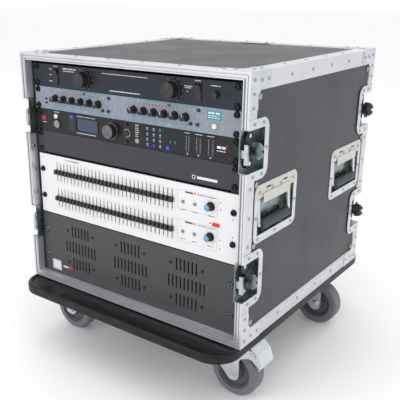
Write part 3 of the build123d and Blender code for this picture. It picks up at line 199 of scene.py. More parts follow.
RIVET = surface("rivet", "9da1a4", 0.22, metal=1.0, shift=0.12, patch=220, grain=4000, height=0.00003)
COPPER = surface("copper_bolt", "b9a69b", 0.42, metal=1.0, shift=0.18, patch=180, grain=3000)
BLACK_STEEL = surface("black_steel", "1c1d20", 0.42, metal=0.4, shift=0.2, patch=50, grain=1500)
LATCH_BLACK = surface("latch_black", "25282b", 0.3, metal=0.6, shift=0.2, patch=80, grain=1200)
SCREW_BLACK = surface("screw_black", "1a1a1d", 0.30, metal=0.5, shift=0.22, patch=160, grain=2600)
# Near-black painted shade, set into the rack screw crosses and behind the fader slots.
PAINTED_RECESS_SHADE = surface("painted_recess_shade", "08080a", 0.7, shift=0.3, patch=200)
DIMMER = surface("dimmer_paint", "20242f", 0.42, shift=0.06, patch=16, grain=2200, height=0.00008,
                 specular=0.28)
COMPRESSOR = surface("compressor_paint", "8a919d", 0.5, shift=0.06, patch=30, grain=2400,
                     height=0.00008, speckle=("4c5666", 1300, 0.75))
PROCESSOR = surface("processor_paint", "101116", 0.36, specular=0.35, shift=0.1, patch=20,
                    grain=2600, height=0.00005)
BLANK = surface("blank_paint", "323339", 0.5, specular=0.35, shift=0.06, patch=14, grain=1700,
                height=0.0001)
WHITE_PAINT = surface("equaliser_paint", "dadadc", 0.4, shift=0.025, patch=12, grain=1500, height=0.00006)
VENT_PAINT = surface("vent_paint", "3a3b3e", 0.52, shift=0.07, patch=16, grain=1500, height=0.00012)
CHASSIS = surface("chassis_steel", "26272b", 0.42, metal=0.5, shift=0.12, patch=22, grain=1800,
                  height=0.00006)
FAN = surface("fan_plastic", "121214", 0.5, shift=0.15, patch=90, grain=2200)
CONTROL = surface("control_plastic", "161719", 0.42, shift=0.16, patch=140, grain=3000, height=0.00004)
KNOB_CAP = surface("knob_cap", "55565c", 0.36, shift=0.12, patch=150, grain=2600, height=0.00006)
KNOB = surface("knob_plastic", "1b1c1f", 0.48, shift=0.16, patch=150, grain=2600, height=0.00006)
GRIP = surface("grip_rubber", "303338", 0.55, shift=0.14, patch=60, grain=1700, height=0.0001)
TYRE = surface("tyre_rubber", "696a71", 0.55, shift=0.07, patch=45, grain=1300, height=0.0001)
HUB = surface("wheel_hub", "4d4e54", 0.5, shift=0.14, patch=70, grain=1500, height=0.0001)
CREAM = surface("cream_plastic", "d9d5c4", 0.4, shift=0.06, patch=160)
FADED_PRINT = surface("faded_print", "5f6168", 0.5, shift=0.1, patch=300, grain=5000, height=0.00001)
SCREW_GREY = surface("screw_grey", "6a6c72", 0.32, metal=0.9, shift=0.2, patch=160, grain=2600)
# Red plastic with a faint painted glow; the part is no lamp.
RED_PLASTIC_PAINTED_GLOW = surface("red_plastic_painted_glow", "c2202a", 0.35, shift=0.1, patch=200, glow=0.25)
BLUE_PLASTIC = surface("blue_plastic", "4f93c8", 0.36, shift=0.12, patch=200)
GREY_PLASTIC = surface("grey_plastic", "7c7e85", 0.45, shift=0.12, patch=180)
PRINT_WHITE = surface("white_print", "d6d8dc", 0.5, shift=0.08, patch=300, grain=5000, height=0.00001)
PRINT_TEAL = surface("teal_print", "1f8c97", 0.5, shift=0.12, patch=300, grain=5000, height=0.00001)
PRINT_DARK = surface("dark_print", "33353b", 0.5, shift=0.12, patch=300, grain=5000, height=0.00001)
PRINT_GREY = surface("grey_print", "9a9ca3", 0.5, shift=0.08, patch=300, grain=5000, height=0.00001)
PRINT_RED = surface("red_print", "c4232d", 0.45, shift=0.1, patch=300, grain=5000, height=0.00001)
LED_RED = surface("red_led", "c01a20", 0.2, shift=0.25, patch=700, glow=0.5, coat=0.4)
LED_GREEN = surface("green_led", "2f9a55", 0.2, shift=0.25, patch=700, glow=0.35, coat=0.4)
LED_YELLOW = surface("yellow_led", "c7a53c", 0.2, shift=0.25, patch=700, glow=0.35, coat=0.4)
LED_BLUE = surface("blue_led", "1a2af0", 0.2, shift=0.25, patch=700, glow=0.9, coat=0.4)
LED_WHITE = surface("white_led", "aab6c6", 0.25, shift=0.25, patch=700, glow=0.15, coat=0.4)
SCREEN = display("screen")
FLOOR = surface("floor", "fafafb", 0.75, shift=0.012, patch=1.6, rough_shift=0.05, grain=240,
                height=0.00005, specular=0.2)

NODE_MATERIALS = {
    "side_panel_left": LAMINATE, "side_panel_right": LAMINATE, "top_panel": LAMINATE,
    "bottom_panel": LAMINATE, "caster_board": BOARD, "front_extrusion": ALUMINIUM,
    "rear_extrusion": ALUMINIUM, "edge_angles": ALUMINIUM, "corner_braces": ZINC,
    "case_rivets": RIVET, "rack_rails": BLACK_STEEL, "rail_bolts": COPPER, "latch_dishes": ZINC,
    "latch_bases": LATCH_BLACK, "handle_dishes": ZINC, "caster_plates": ZINC, "caster_bolts": DULL_ZINC,
    "rack_screws": SCREW_BLACK, "dimmer_panel": DIMMER, "compressor_panel": COMPRESSOR,
    "processor_panel": PROCESSOR, "blank_panel": BLANK, "equaliser_panel": WHITE_PAINT,
    "vent_panel": VENT_PAINT, "unit_chassis": CHASSIS, "cooling_fans": FAN,
    "processor_screen": SCREEN, "panel_controls": CONTROL, "breaker_button": CONTROL,
    "encoder_knob": KNOB, "fader_bank_lower": KNOB, "fader_bank_upper": KNOB,
    "level_knob_lower": KNOB, "level_knob_upper": KNOB, "dimmer_knob_left": KNOB,
    "dimmer_knob_right": KNOB, "rocker_left": CONTROL, "rocker_right": CONTROL,
}
for node, obj in NODES.items():
    if node in NODE_MATERIALS:
        finish = NODE_MATERIALS[node]
    elif node.startswith("caster_wheel"):
        finish = TYRE
    else:
        finish = ZINC
    obj.data.materials.clear()
    obj.data.materials.append(finish)


def recolour(node, finish, test):
    """Gives another finish to the faces of a CAD node whose middle passes the test."""
    obj = NODES[node]
    obj.data.materials.append(finish)
    index = len(obj.data.materials) - 1
    for face in obj.data.polygons:
        if test(face.center, face.normal):
            face.material_index = index


def centre(node):
    low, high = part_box(node)
    return (low + high) / 2


corners = [f"{end}_{side}" for end in ("front", "rear") for side in ("left", "right")]
for corner in corners:
    hub_low, hub_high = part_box(f"caster_wheel_{corner}")
    axle = (hub_low + hub_high) / 2
    radius = (hub_high.z - hub_low.z) / 2

    def in_hub(c, n, axle=axle, radius=radius):
        return math.hypot(c.x - axle.x, c.z - axle.z) < radius * 0.705

    recolour(f"caster_wheel_{corner}", HUB, in_hub)
for corner in corners:
    low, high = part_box(f"handle_{corner}")
    outer = max(abs(low.x), abs(high.x))
    grip_x = outer - 9 * MM
    grip_z = low.z + 9 * MM
    mid_y = (low.y + high.y) / 2
    reach = 50.2 * MM

    def on_grip(c, n, grip_x=grip_x, grip_z=grip_z, mid_y=mid_y, reach=reach):
        away = math.hypot(abs(c.x) - grip_x, c.z - grip_z)
        return away > 3.9 * MM and away < 10 * MM and abs(c.y - mid_y) < reach

    recolour(f"handle_{corner}", GRIP, on_grip)

latch_base_low, latch_base_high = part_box("latch_bases")
claw_start = max(abs(latch_base_low.y), abs(latch_base_high.y)) - 5.2 * MM
recolour("latch_bases", DULL_ZINC, lambda c, n: abs(c.y) > claw_start - 0.1 * MM)
band_low, band_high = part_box("edge_angles")
brace_top = band_low.z + 80 * MM
recolour("corner_braces", ALUMINIUM, lambda c, n: c.z < brace_top)
recolour("encoder_knob", KNOB_CAP, lambda c, n: n.y < -0.3)
recolour("side_panel_left", PLY_EDGE, lambda c, n: abs(n.x) < 0.5)
recolour("side_panel_right", PLY_EDGE, lambda c, n: abs(n.x) < 0.5)
vent_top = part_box("vent_panel")[1].z
recolour("rack_screws", SCREW_GREY, lambda c, n: c.z < vent_top)
EQ_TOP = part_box("equaliser_panel")[1].z
processor = centre("processor_panel")
compressor = centre("compressor_panel")


def near(x, z, reach):
    return lambda c, n: math.hypot(c.x - x, c.z - z) < reach


recolour("panel_controls", CREAM, near(compressor.x + 191 * MM, compressor.z - 7.8 * MM, 4.7 * MM))
recolour("panel_controls", CREAM, near(processor.x - 184 * MM, processor.z + 10.5 * MM, 4.7 * MM))
recolour("panel_controls", GREY_PLASTIC, near(processor.x - 182 * MM, processor.z - 5.0 * MM, 7.9 * MM))
# The red control gets the red plastic with its painted glow.
recolour("panel_controls", RED_PLASTIC_PAINTED_GLOW, lambda c, n: c.x > 190 * MM and vent_top < c.z < EQ_TOP)
recolour("panel_controls", GREY_PLASTIC,
         lambda c, n: 120 * MM < c.x < 160 * MM and vent_top < c.z < EQ_TOP)
fan_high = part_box("cooling_fans")[1]
panel_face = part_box("vent_panel")[0].y + 0.01 * MM
recolour("cooling_fans", SCREW_BLACK, lambda c, n: c.y < panel_face)

side_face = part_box("side_panel_right")[1].x
# Painted shade: the faces inside the latch and handle dishes get darker zinc.
recolour("latch_dishes", ZINC_PAINTED_SHADE, lambda c, n: abs(c.x) < side_face - 1 * MM)
recolour("handle_dishes", ZINC_PAINTED_SHADE, lambda c, n: abs(c.x) < side_face - 9 * MM or abs(n.y) > 0.9)
cover_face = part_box("handle_dishes")[1].x - 1.4 * MM
cover_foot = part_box("handle_front_right")[1].z - 1 * MM
recolour("handle_dishes", YELLOW_ZINC,
         lambda c, n: abs(c.x) > cover_face or (c.z > cover_foot and abs(c.x) > side_face - 1 * MM))
for end in ("front", "rear"):
    for side in ("left", "right"):
        for level in ("lower", "upper"):
            butterfly = f"latch_butterfly_{end}_{side}_{level}"
            wing_low, wing_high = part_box(butterfly)
            rotor_edge = min(abs(wing_low.x), abs(wing_high.x)) + 6.3 * MM
            recolour(butterfly, LATCH_BLACK, lambda c, n, edge=rotor_edge: abs(c.x) < edge)
            recolour(butterfly, OILED_ZINC, lambda c, n, edge=rotor_edge: abs(c.x) >= edge)
stud_face = max(abs(latch_base_low.x), abs(latch_base_high.x)) - 8.6 * MM
butterfly_y = abs(centre("latch_butterfly_front_right_upper").y)
levels = [centre(f"latch_butterfly_front_right_{level}").z for level in ("lower", "upper")]


def on_stud(c, n):
    away = min(abs(abs(c.z - level) - 23 * MM) for level in levels)
    return math.hypot(abs(c.y) - butterfly_y, away) < 3.8 * MM and abs(c.x) > stud_face


recolour("latch_bases", ZINC, on_stud)


# ---- Building small raised details ---------------------------------------------------------------
def circle(x, z, radius, count=24):
    step = 2 * math.pi / count
    return [(x + radius * math.sin(i * step), z + radius * math.cos(i * step)) for i in range(count)]


def rounded(x0, x1, z0, z1, radius, count=4):
    """The outline of a rectangle with rounded corners."""
    points = []
    for cx, cz, first in ((x1 - radius, z1 - radius, 0), (x1 - radius, z0 + radius, 1),
                          (x0 + radius, z0 + radius, 2), (x0 + radius, z1 - radius, 3)):
        for i in range(count + 1):
            angle = math.pi / 2 * (first + i / count)
            points.append((cx + radius * math.sin(angle), cz + radius * math.cos(angle)))
    return points


class Details:
    """Raised details on an upright face, in millimetres across, up and out from a point on it."""

    def __init__(self, x, y, z, facing=FRONT):
        self.origin = (x, y, z)
        self.facing = facing
        self.points = []
        self.faces = []

    def loft(self, outlines, cap=True, close=False):
        """Joins outlines of equal length, each (points, how far it stands out)."""
        first = len(self.points)
        count = len(outlines[0][0])
        ox, oy, oz = self.origin
        fx, fy = self.facing
        for outline, out in outlines:
            for across, up in outline:
                x = across * abs(fy) + out * fx
                y = across * abs(fx) + out * fy
                self.points.append((ox + x * MM, oy + y * MM, oz + up * MM))
        steps = len(outlines) if close else len(outlines) - 1
        for s in range(steps):
            a = first + s * count
            b = first + (s + 1) % len(outlines) * count
            for i in range(count):
                j = (i + 1) % count
                self.faces.append((a + i, a + j, b + j, b + i))
        if cap:
            last = first + (len(outlines) - 1) * count
            self.faces.append(tuple(range(last, last + count)))

    def turned(self, x, z, profile, count=24):
        self.loft([(circle(x, z, r, count), out) for r, out in profile])

    def slab(self, x0, x1, z0, z1, out, corner=0.3, chamfer=0.1, base=0.0):
        inset = min(chamfer, (x1 - x0) / 3, (z1 - z0) / 3)
        corner = min(corner, (x1 - x0) / 2.05, (z1 - z0) / 2.05)
        edge = rounded(x0, x1, z0, z1, corner)
        top = rounded(x0 + inset, x1 - inset, z0 + inset, z1 - inset, max(corner - inset, 0.02))
        self.loft([(edge, base), (edge, out - inset), (top, out)])

    def hoop(self, outer, inner, out, base=0.0):
        self.loft([(outer, base), (outer, out), (inner, out), (inner, base)], cap=False, close=True)

    def ring(self, x, z, outer, inner, out, count=32, base=0.0):
        self.hoop(circle(x, z, outer, count), circle(x, z, inner, count), out, base)

    def frame(self, x0, x1, z0, z1, width, out, corner=1.0):
        inner = rounded(x0 + width, x1 - width, z0 + width, z1 - width, max(corner - width, 0.05))
        self.hoop(rounded(x0, x1, z0, z1, corner), inner, out)

    def stroke(self, x0, z0, x1, z1, width, out=0.12, base=0.0):
        length = math.hypot(x1 - x0, z1 - z0)
        ax, az = (x1 - x0) / length * width / 2, (z1 - z0) / length * width / 2
        outline = [(x0 - az, z0 + ax), (x1 - az, z1 + ax), (x1 + az, z1 - ax), (x0 + az, z0 - ax)]
        self.loft([(outline, base), (outline, out)])

    def dial(self, x, z, inner, outer, count, width=0.5, sweep=150):
        """Marks round a knob, from -sweep to +sweep degrees."""
        for i in range(count):
            angle = math.radians(-sweep + 2 * sweep * i / (count - 1))
            s, c = math.sin(angle), math.cos(angle)
            self.stroke(x + inner * s, z + inner * c, x + outer * s, z + outer * c, width)

    def words(self, x0, x1, z, height, seed=1, base=0.0):
        """A row of short strokes that reads as small print from a distance."""
        dice = random.Random(seed)
        x = x0
        while x < x1 - height:
            length = min(dice.uniform(0.7, 3.2) * height, x1 - x)
            self.slab(x, x + length, z - height / 2, z + height / 2, base + 0.1,
                      corner=height / 4, chamfer=0.03, base=base)
            x += length + height * dice.choice((0.35, 0.35, 0.9))

    def led(self, x, z, radius):
        profile = [(radius, 0), (radius, 0.5), (radius * 0.86, 1.0), (radius * 0.5, 1.35), (0.05, 1.5)]
        self.turned(x, z, profile, 14)

    def screw(self, x, z, radius):
        self.turned(x, z, [(radius, 0), (radius * 0.96, 0.5), (radius * 0.7, 1.0), (radius * 0.45, 1.1),
                           (radius * 0.38, 0.6)], 18)

    def build(self, name, finish, body="case"):
        mesh = bpy.data.meshes.new(name)
        mesh.from_pydata(self.points, [], self.faces)
        shell = bmesh.new()
        shell.from_mesh(mesh)
        bmesh.ops.recalc_face_normals(shell, faces=shell.faces)
        shell.to_mesh(mesh)
        shell.free()
        obj = bpy.data.objects.new(name, mesh)
        bpy.context.scene.collection.objects.link(obj)
        mesh.materials.append(finish)
        mesh.shade_smooth()
        mesh.set_sharp_from_angle(angle=math.radians(35))
        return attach(obj, body)


def on_panel(panel):
    """Details measured from the middle of a rack panel's front face."""
    low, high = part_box(panel)
    return Details((low.x + high.x) / 2, low.y, (low.z + high.z) / 2)


# ---- Dimmer --------------------------------------------------------------------------------------
art = on_panel("dimmer_panel")
for z in (12.7, 1.7, -10.3):
    art.words(-198, -190, z, 1.2, seed=int(z * 10))
art.words(-186, -173, 18.9, 1.3, seed=3)
art.words(-160, -124, 15.6, 2.2, seed=4)
art.words(-158, -130, 11.2, 1.5, seed=5)
art.words(-39, 32, -15.3, 1.6, seed=6)
art.words(-58, 50, 14.6, 1.2, seed=7)
art.words(128.5, 145, 8.4, 1.4, seed=8)
art.words(130, 142, 5.6, 1.1, seed=9)
art.words(150, 163, 18.7, 1.3, seed=10)
art.words(182, 200, 13.2, 1.4, seed=11)
dimmer_knobs = [centre(f"dimmer_knob_{side}") - centre("dimmer_panel") for side in ("left", "right")]
for spot in dimmer_knobs:
    art.dial(spot.x / MM, spot.z / MM, 19.4, 21.2, 11)
art.build("dimmer_print", PRINT_WHITE)
art = on_panel("dimmer_panel")
art.led(135.6, -0.1, 1.7)
art.build("dimmer_power_led", LED_GREEN)
art = on_panel("dimmer_panel")
art.ring(135.6, -0.1, 2.5, 1.7, 0.7)
for x in (-217, 217):
    art.screw(x, 0, 2.2)
art.build("dimmer_trim", SCREW_BLACK)


def pointer(node, finish, width, reach):
    """The filled pointer groove in a knob's front."""
    low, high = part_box(node)
    mark = Details((low.x + high.x) / 2, low.y, (low.z + high.z) / 2)
    mark.slab(-width / 2, width / 2, reach[0], reach[1], -0.25, corner=0.3, chamfer=0.05, base=-0.75)
    return mark.build(f"{node}_pointer", finish, node)


for side in ("left", "right"):
    pointer(f"dimmer_knob_{side}", FADED_PRINT, 1.3, (3.0, 12.9))
pointer("encoder_knob", PRINT_GREY, 1.3, (2.8, 12.0))

# ---- Compressor ----------------------------------------------------------------------------------
CHANNEL = 200.6
KNOBS = [-183.3 + channel * CHANNEL + i * 22.9 for channel in (0, 1) for i in range(6)]
KNOB_Z = 0.8
art = on_panel("compressor_panel")
for x, z in ((-208.5, 11.6), (-173.6, 17.4), (-29.7, 17.4), (-26.3, -6.6), (0.6, 17.2), (29.4, 17.5),
             (207.3, 11.5), (207.3, -11.0), (174.3, -7.5)):
    art.screw(x, z, 1.9)
art.build("compressor_screws", DULL_ZINC)
reds, greens, yellows = (on_panel("compressor_panel") for _ in range(3))
for i in range(8):
    reds.led(-162 + i * 6.9, 14.2, 1.35)
    reds.led(39.8 + i * 7.0, 13.7, 1.35)
reds.led(157, 14.2, 1.35)
for i in range(5):
    greens.led(-93.4 + i * 6.5, 14.2, 1.35)
    greens.led(104.7 + i * 7.3, 14.2, 1.35)
for x in (-60.9, -54.4, 141.4, 149.0):
    yellows.led(x, 14.2, 1.35)
reds.build("compressor_red_leds", LED_RED)
greens.build("compressor_green_leds", LED_GREEN)
yellows.build("compressor_yellow_leds", LED_YELLOW)
art = on_panel("compressor_panel")
art.slab(175.2, 204.0, 2.0, 17.3, 0.25, corner=1.0)
for i, x in enumerate(KNOBS):
    art.words(x - 8.5, x + 8.5, -11.8, 1.3, seed=20 + i)
    art.words(x - 6.0, x + 6.5, -14.6, 1.0, seed=40 + i)
art.words(-165, -50, 18.9, 1.3, seed=60)
art.words(38, 160, 18.9, 1.3, seed=61)
for x0, x1 in ((-196, -45), (5, 152)):
    art.frame(x0, x1, -18.8, 20.6, 0.5, 0.1, corner=2.0)
art.build("compressor_print", PRINT_TEAL)
art = on_panel("compressor_panel")
for x in KNOBS:
    art.dial(x, KNOB_Z, 8.6, 10.0, 11, width=0.45)
for channel in (0, 1):
    art.words(-107 + channel * CHANNEL, -101 + channel * CHANNEL, -17.2, 1.1, seed=70 + channel)
art.words(177.5, 202, 13.4, 3.0, seed=75, base=0.25)
art.words(177.5, 199, 8.8, 1.3, seed=76, base=0.25)
art.words(177.5, 201, 5.6, 1.3, seed=77, base=0.25)
art.build("compressor_dials", PRINT_WHITE)
art = on_panel("compressor_panel")
for x, z in ((-105.2, 16.4), (96.6, 16.6)):
    art.slab(x - 3.4, x + 3.4, z - 2.0, z + 2.0, 0.3)
art.build("compressor_badges", PRINT_DARK)
controls_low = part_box("panel_controls")[0]
art = Details(compressor.x, controls_low.y, compressor.z)
for x in KNOBS:
    art.stroke(x, KNOB_Z + 1.0, x, KNOB_Z + 5.4, 1.0, out=0.15, base=-0.1)
art.build("compressor_pointers", PRINT_WHITE)

# ---- Effects processor -----------------------------------------------------------------------------
art = on_panel("processor_panel")
art.slab(-225, -221, -1.0, 6.6, 0.4, corner=1.2)
art.slab(-220.2, -215.8, -1.0, 3.6, 0.4, corner=1.2)
art.slab(-219.6, -217, 4.6, 8.8, 0.4, corner=1.0)
art.turned(215.4, 6.6, [(1.5, 0), (1.5, 0.25), (1.2, 0.35)], 18)
art.build("processor_red_mark", PRINT_RED)
art = on_panel("processor_panel")
art.words(-225, -214, -5.0, 1.2, seed=80)
art.words(-190, -176, 18.4, 1.3, seed=81)
art.ring(-0.3, 0, 7.6, 6.9, 0.15)
for i in range(7):
    art.words(20, 28, 18 - i * 3.4, 1.1, seed=82 + i)
art.ring(23.7, -10.8, 4.2, 3.5, 0.15)
art.turned(23.7, -10.8, [(1.6, 0), (1.6, 0.12)], 18)
art.words(-128, -78, 16.6, 1.1, seed=90)
art.slab(-129, -78, -16.6, -15.5, 0.15)
for x0, x1 in ((130, 142.5), (152, 166.5), (176, 191.5)):
    art.ring((x0 + x1) / 2, -17.6, 1.7, 1.2, 0.12)
    art.words(x0, x1, 18.4, 1.0, seed=int(x0))
art.words(196, 213, 2.6, 4.2, seed=94)
art.words(196, 213, -3.4, 1.4, seed=96)
art.build("processor_print", PRINT_WHITE)
art = on_panel("processor_panel")
for x, z in ((-216.6, 16.7), (-216.6, -17.6), (-173.5, -12.8), (213.2, 16.7), (212.7, -16.0)):
    art.screw(x, z, 2.0)
art.frame(-131.5, -71.5, -14.6, 14.6, 2.6, 0.9, corner=2.0)
art.slab(-149.5, -133.5, -15, 17.5, 0.5, corner=1.5)
art.ring(-182.0, -5.0, 9.2, 7.7, 1.0, count=8)
for x0, x1 in ((95.5, 114.5), (129.5, 143), (151.5, 167), (175.5, 192)):
    low = -7 if x0 < 100 else -14.8
    art.frame(x0, x1, low, 16.4, 0.8, 0.5, corner=1.0)
art.build("processor_trim", CONTROL)
glyphs = {"white": [], "blue": [], "green": []}
for column in range(3):
    for row in range(4):
        hue = "blue" if (column, row) == (1, 0) else "green" if (column, row) == (2, 3) else "white"
        glyphs[hue].append((48 + column * 14.5, -13.0 + row * 9.6))
for hue, finish in (("white", LED_WHITE), ("blue", LED_BLUE), ("green", LED_GREEN)):
    art = on_panel("processor_panel")
    for x, z in glyphs[hue]:
        art.slab(x - 1.5, x + 1.5, z - 1.1, z + 1.1, 0.3, corner=0.5)
        art.slab(x - 2.4, x + 2.4, z - 3.4, z - 2.7, 0.15, corner=0.3)
    if hue == "blue":
        art.slab(90.6, 96.4, -17, -11.0, 0.6, corner=0.8)
        art.slab(-145.2, -138.2, 10.6, 16.4, 0.9, corner=1.0, base=0.4)
    if hue == "white":
        for x0, x1 in ((131, 141.5), (153, 165.5), (177, 190.5)):
            for i in range(9):
                z = -12.6 + i * 3.0
                art.slab(x0 + 1.2, x0 + 3.2, z, z + 0.8, 0.12, corner=0.2)
                art.slab(x1 - 4.4, x1 - 1.2, z, z + 0.5, 0.12, corner=0.2)
    if hue == "green":
        for i in range(2):
            art.slab(98, 101, -4.6 + i * 2.9, -3.6 + i * 2.9, 0.15, corner=0.3)
            art.slab(108, 111, -4.6 + i * 2.9, -3.6 + i * 2.9, 0.15, corner=0.3)
    art.build(f"processor_{hue}_lights", finish)

# ---- Blank panel -----------------------------------------------------------------------------------
art = on_panel("blank_panel")
art.frame(146.5, 153.5, -15.3, -8.5, 1.1, 0.15, corner=1.2)
art.slab(157, 198.6, -14.2, -9.6, 0.15, corner=0.8)
art.build("blank_mark", PRINT_WHITE)

# ---- Graphic equaliser -----------------------------------------------------------------------------
FADERS = [-191.2 + i * 9.82 for i in range(31)]
ROWS = [(centre(f"fader_bank_{row}").z - centre("equaliser_panel").z) / MM
        for row in ("lower", "upper")]
marks, lines, strip = (on_panel("equaliser_panel") for _ in range(3))
for row, z in enumerate(ROWS):
    for i, x in enumerate(FADERS):
        for step in (-18, -9, 9, 18):
            lines.stroke(x + 2.6, z + step, x + 7.2, z + step, 0.3, out=0.08)
        lines.words(x - 2.6, x + 2.8, z - 21.6, 0.9, seed=100 + i)
        lines.words(x - 2.6, x + 2.8, z + 21.6, 0.9, seed=140 + i)
    # Near-black sheets just behind the fader rows: painted shade inside the fader slots.
    strip.slab(-198, 110, z - 21, z + 21, -8.6, corner=2, base=-9.0)
marks.words(-166, -127, 57.6, 2.2, seed=180)
for z in (48.2, -7.5):
    marks.words(158, 196, z, 1.4, seed=int(181 + z))
    marks.slab(132.5, 149, z - 1.5, z + 1.5, 0.2, corner=0.4)
    for dx in (128, 153.4, 186.5):
        marks.words(dx - 6, dx + 6, z - 33.5, 1.2, seed=int(dx + z))
for x, z in ((231.2, 17.7), (231.7, -14.0), (206.3, 43.4), (206.6, 30.4), (206.4, -24.8), (206.9, -41.2)):
    marks.turned(x, z, [(1.1, 0), (1.1, 0.1)], 14)
for z in ROWS:
    marks.dial(186.5, z + 3, 9.4, 10.8, 11, width=0.5)
marks.build("equaliser_print", PRINT_DARK)
lines.frame(115.1, 200.9, 15.3, 51.0, 0.5, 0.08, corner=2.0)
lines.frame(115.1, 200.9, -46.9, -4.5, 0.5, 0.08, corner=2.0)
lines.build("equaliser_outlines", PRINT_GREY)
strip.build("fader_slot_painted_shade", PAINTED_RECESS_SHADE)
art = on_panel("equaliser_panel")
art.led(153.0, 48.5, 1.5)
art.led(153.2, -7.3, 1.5)
art.led(185.7, 1.8, 1.5)
art.build("equaliser_red_leds", LED_RED)
for row in ("lower", "upper"):
    knob_low, knob_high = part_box(f"level_knob_{row}")
    cap = Details((knob_low.x + knob_high.x) / 2, knob_low.y, (knob_low.z + knob_high.z) / 2)
    cap.turned(0, 0, [(5.2, -0.3), (5.2, 0.3), (4.7, 0.6), (0.2, 0.75)], 28)
    cap.build(f"level_cap_{row}", BLUE_PLASTIC, f"level_knob_{row}")
    tip = Details((knob_low.x + knob_high.x) / 2, knob_low.y, (knob_low.z + knob_high.z) / 2)
    tip.stroke(0, 1.2, 0, 4.4, 1.0, out=0.85, base=0.4)
    tip.build(f"level_pointer_{row}", PRINT_WHITE, f"level_knob_{row}")
    low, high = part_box(f"fader_bank_{row}")
    bars = Details(centre("equaliser_panel").x, low.y, (low.z + high.z) / 2)
    for x in FADERS:
        bars.slab(x - 2.4, x + 2.4, -0.35, 0.35, -0.2, corner=0.15, chamfer=0.05, base=-0.75)
    bars.build(f"fader_lines_{row}", FADED_PRINT, f"fader_bank_{row}")

# ---- Vent panel and fans ---------------------------------------------------------------------------
art = on_panel("vent_panel")
art.slab(-221, -195, -61, -38.5, 0.15, corner=1.5)
art.slab(-189, -174, -50.4, -46.8, 0.15, corner=0.8)
art.build("vent_label", PRINT_WHITE)
art = on_panel("vent_panel")
art.slab(-172, -163, -52.5, -44.5, 0.3, corner=1.5)
art.build("vent_red_mark", PRINT_RED)
art = on_panel("vent_panel")
art.frame(-219, -197, -59.2, -40.4, 0.6, 0.25, corner=1.0)
for i in range(4):
    art.words(-216.5, -199.5, -44.2 - i * 3.6, 1.3, seed=200 + i)
art.build("vent_label_print", PRINT_DARK)
fan_z = centre("cooling_fans").z
for name, x in (("left", -134.0), ("middle", 1.0), ("right", 136.0)):
    guard = Details(x * MM, fan_high.y, fan_z, REAR)
    for radius in (9, 17, 25, 33):
        guard.ring(0, 0, radius + 0.8, radius - 0.8, 2.4, count=48, base=0.8)
    for dx in (-1, 1):
        for dz in (-1, 1):
            guard.stroke(dx * 5.5, dz * 5.5, dx * 35.5, dz * 35.5, 1.6, out=0.8)
            guard.ring(dx * 35.5, dz * 35.5, 3.2, 1.7, 0.8)
    guard.build(f"fan_guard_{name}", DULL_ZINC)


for name, facing in (("left", LEFT), ("right", RIGHT)):
    ribs = Details(facing[0] * band_high.x, 0, band_low.z, facing)
    for z in (2.6, 6.4, 10.2, 20.4, 24.2, 28.0):
        ribs.stroke(-231, z, 231, z, 1.5, out=0.4)
    ribs.build(f"edge_ribs_{name}", ALUMINIUM)


# ---- Painted shade in screw recesses, spring coils and rear fittings --------------------------------
screw_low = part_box("rack_screws")[0]
OFFSETS = (6.35, 38.1)
stack_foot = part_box("vent_panel")[0].z / MM - 0.4
heights = [38.1, 95.25, 3 * 44.45 + 38.1, 3 * 44.45 + 95.25]
heights += [unit * 44.45 + offset for unit in (6, 7, 8, 9) for offset in OFFSETS]
# Dark crosses set into the rack screw heads: painted shade in the cross recesses.
crosses = Details(0, screw_low.y, stack_foot * MM)
for z in heights:
    for x in (-232.55, 232.55):
        crosses.stroke(x - 2.2, z, x + 2.2, z, 0.9, out=-1.2, base=-1.7)
        crosses.stroke(x, z - 2.2, x, z + 2.2, 0.9, out=-1.15, base=-1.7)
crosses.build("rack_screw_recess_shade", PAINTED_RECESS_SHADE)


def coil(name, start, end, radius, wire, turns, body, finish):
    """A close-wound spring between two points along Y."""
    line = bpy.data.curves.new(name, "CURVE")
    line.dimensions = "3D"
    line.bevel_depth = wire
    line.bevel_resolution = 2
    steps = turns * 12
    spline = line.splines.new("POLY")
    spline.points.add(steps)
    for i in range(steps + 1):
        angle = 2 * math.pi * i / 12
        y = start.y + (end.y - start.y) * i / steps
        spline.points[i].co = (start.x + radius * math.cos(angle), y, start.z + radius * math.sin(angle), 1)
    line.materials.append(finish)
    obj = bpy.data.objects.new(name, line)
    bpy.context.scene.collection.objects.link(obj)
    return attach(obj, body)


for corner in corners:
    low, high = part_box(f"handle_{corner}")
    side = 1 if high.x > 0 else -1
    middle = (low + high) / 2
    pivot = Vector((side * (side_face - 5 * MM), middle.y, high.z - 3.5 * MM))
    reach = Vector((0, 33 * MM, 0))
    coil(f"handle_spring_{corner}", pivot - reach, pivot + reach, 4.2 * MM, 0.8 * MM, 36, "case", DULL_ZINC)

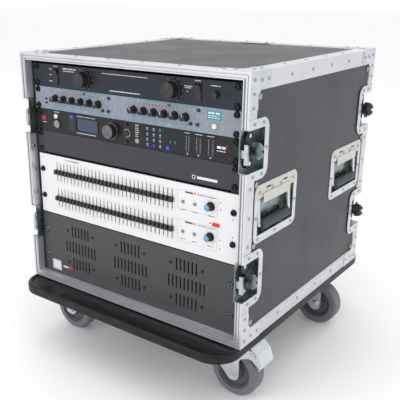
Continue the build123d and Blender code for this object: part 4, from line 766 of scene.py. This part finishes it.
chassis_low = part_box("unit_chassis")[0]
BACKS = (("dimmer", 9.5, 210.0), ("compressor", 8.5, 160.0),
         ("processor", 7.5, 150.0), ("equaliser", 4.5, 190.0))
for unit, level, depth in BACKS:
    z = (stack_foot + level * 44.45) * MM
    y = chassis_low.y + depth * MM
    sockets = Details(0, y, z, REAR)
    sockets.frame(150, 178, -11, 11, 2.0, 1.2, corner=2.5)
    for x, dz in ((158, 3), (170, 3), (164, -4)):
        sockets.slab(x - 2.6, x + 2.6, dz - 1.0, dz + 1.0, 0.9, corner=0.3)
    count = 8 if unit == "dimmer" else 6
    for i in range(count):
        x = -160 + i * 34
        sockets.ring(x, 0, 11.5, 8.6, 1.6)
        for dx, dz in ((-3.2, 1.6), (3.2, 1.6), (0, -3.2)):
            sockets.turned(x + dx, dz, [(1.2, 0), (1.2, 1.2), (0.8, 1.5)], 10)
    sockets.build(f"{unit}_rear_sockets", CONTROL)
    heads = Details(0, y, z, REAR)
    for x in (-208, 140, 188, 208):
        for dz in (-14, 14):
            heads.screw(x, dz, 2.4)
    for i in range(count):
        heads.screw(-160 + i * 34 - 11, 11, 1.6)
        heads.screw(-160 + i * 34 + 11, -11, 1.6)
    heads.build(f"{unit}_rear_screws", DULL_ZINC)

# ---- Stage, light and camera -------------------------------------------------------------------------
bpy.ops.mesh.primitive_plane_add(size=40, location=(0, 0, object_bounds()[0][2]))
floor = bpy.context.object
floor.name = "floor"
floor.data.materials.append(FLOOR)


def softbox(name, place, aim, width, depth, watts, tint):
    lamp = bpy.data.lights.new(name, "AREA")
    lamp.shape = "RECTANGLE"
    lamp.size, lamp.size_y = width, depth
    lamp.energy = watts
    lamp.color = tint
    obj = bpy.data.objects.new(name, lamp)
    bpy.context.scene.collection.objects.link(obj)
    obj.location = place
    facing = obj.location.copy()
    facing.x -= aim[0]
    facing.y -= aim[1]
    facing.z -= aim[2]
    obj.rotation_euler = facing.to_track_quat("Z", "Y").to_euler()
    return obj


softbox("top_light", (0.2, -0.2, 2.4), (0, 0, 0.3), 2.6, 2.6, 14, (1, 1, 1))
softbox("front_light", (-0.9, -2.8, 1.4), (0, 0, 0.35), 1.6, 1.4, 20, (1, 1, 1))
softbox("side_light", (2.8, -0.6, 1.5), (0, 0, 0.35), 1.6, 1.6, 6, (1, 1, 1))

world = bpy.data.worlds.new("studio")
bpy.context.scene.world = world
world.use_nodes = True
world.node_tree.nodes["Background"].inputs["Color"].default_value = (1, 1, 1, 1)
world.node_tree.nodes["Background"].inputs["Strength"].default_value = 1.0
bpy.context.scene.view_settings.view_transform = "Standard"

camera = bpy.data.objects.new("camera", bpy.data.cameras.new("camera"))
bpy.context.scene.collection.objects.link(camera)
camera.location = (0.7603, -1.1113, 0.7437)
camera.rotation_euler = (math.radians(90 - 18.9), 0, math.radians(37.34))
camera.data.lens = 57.8
camera.data.sensor_width = 36
camera.data.shift_x = 0.0768
camera.data.shift_y = 0.0194
camera.data.clip_end = 60
bpy.context.scene.camera = camera
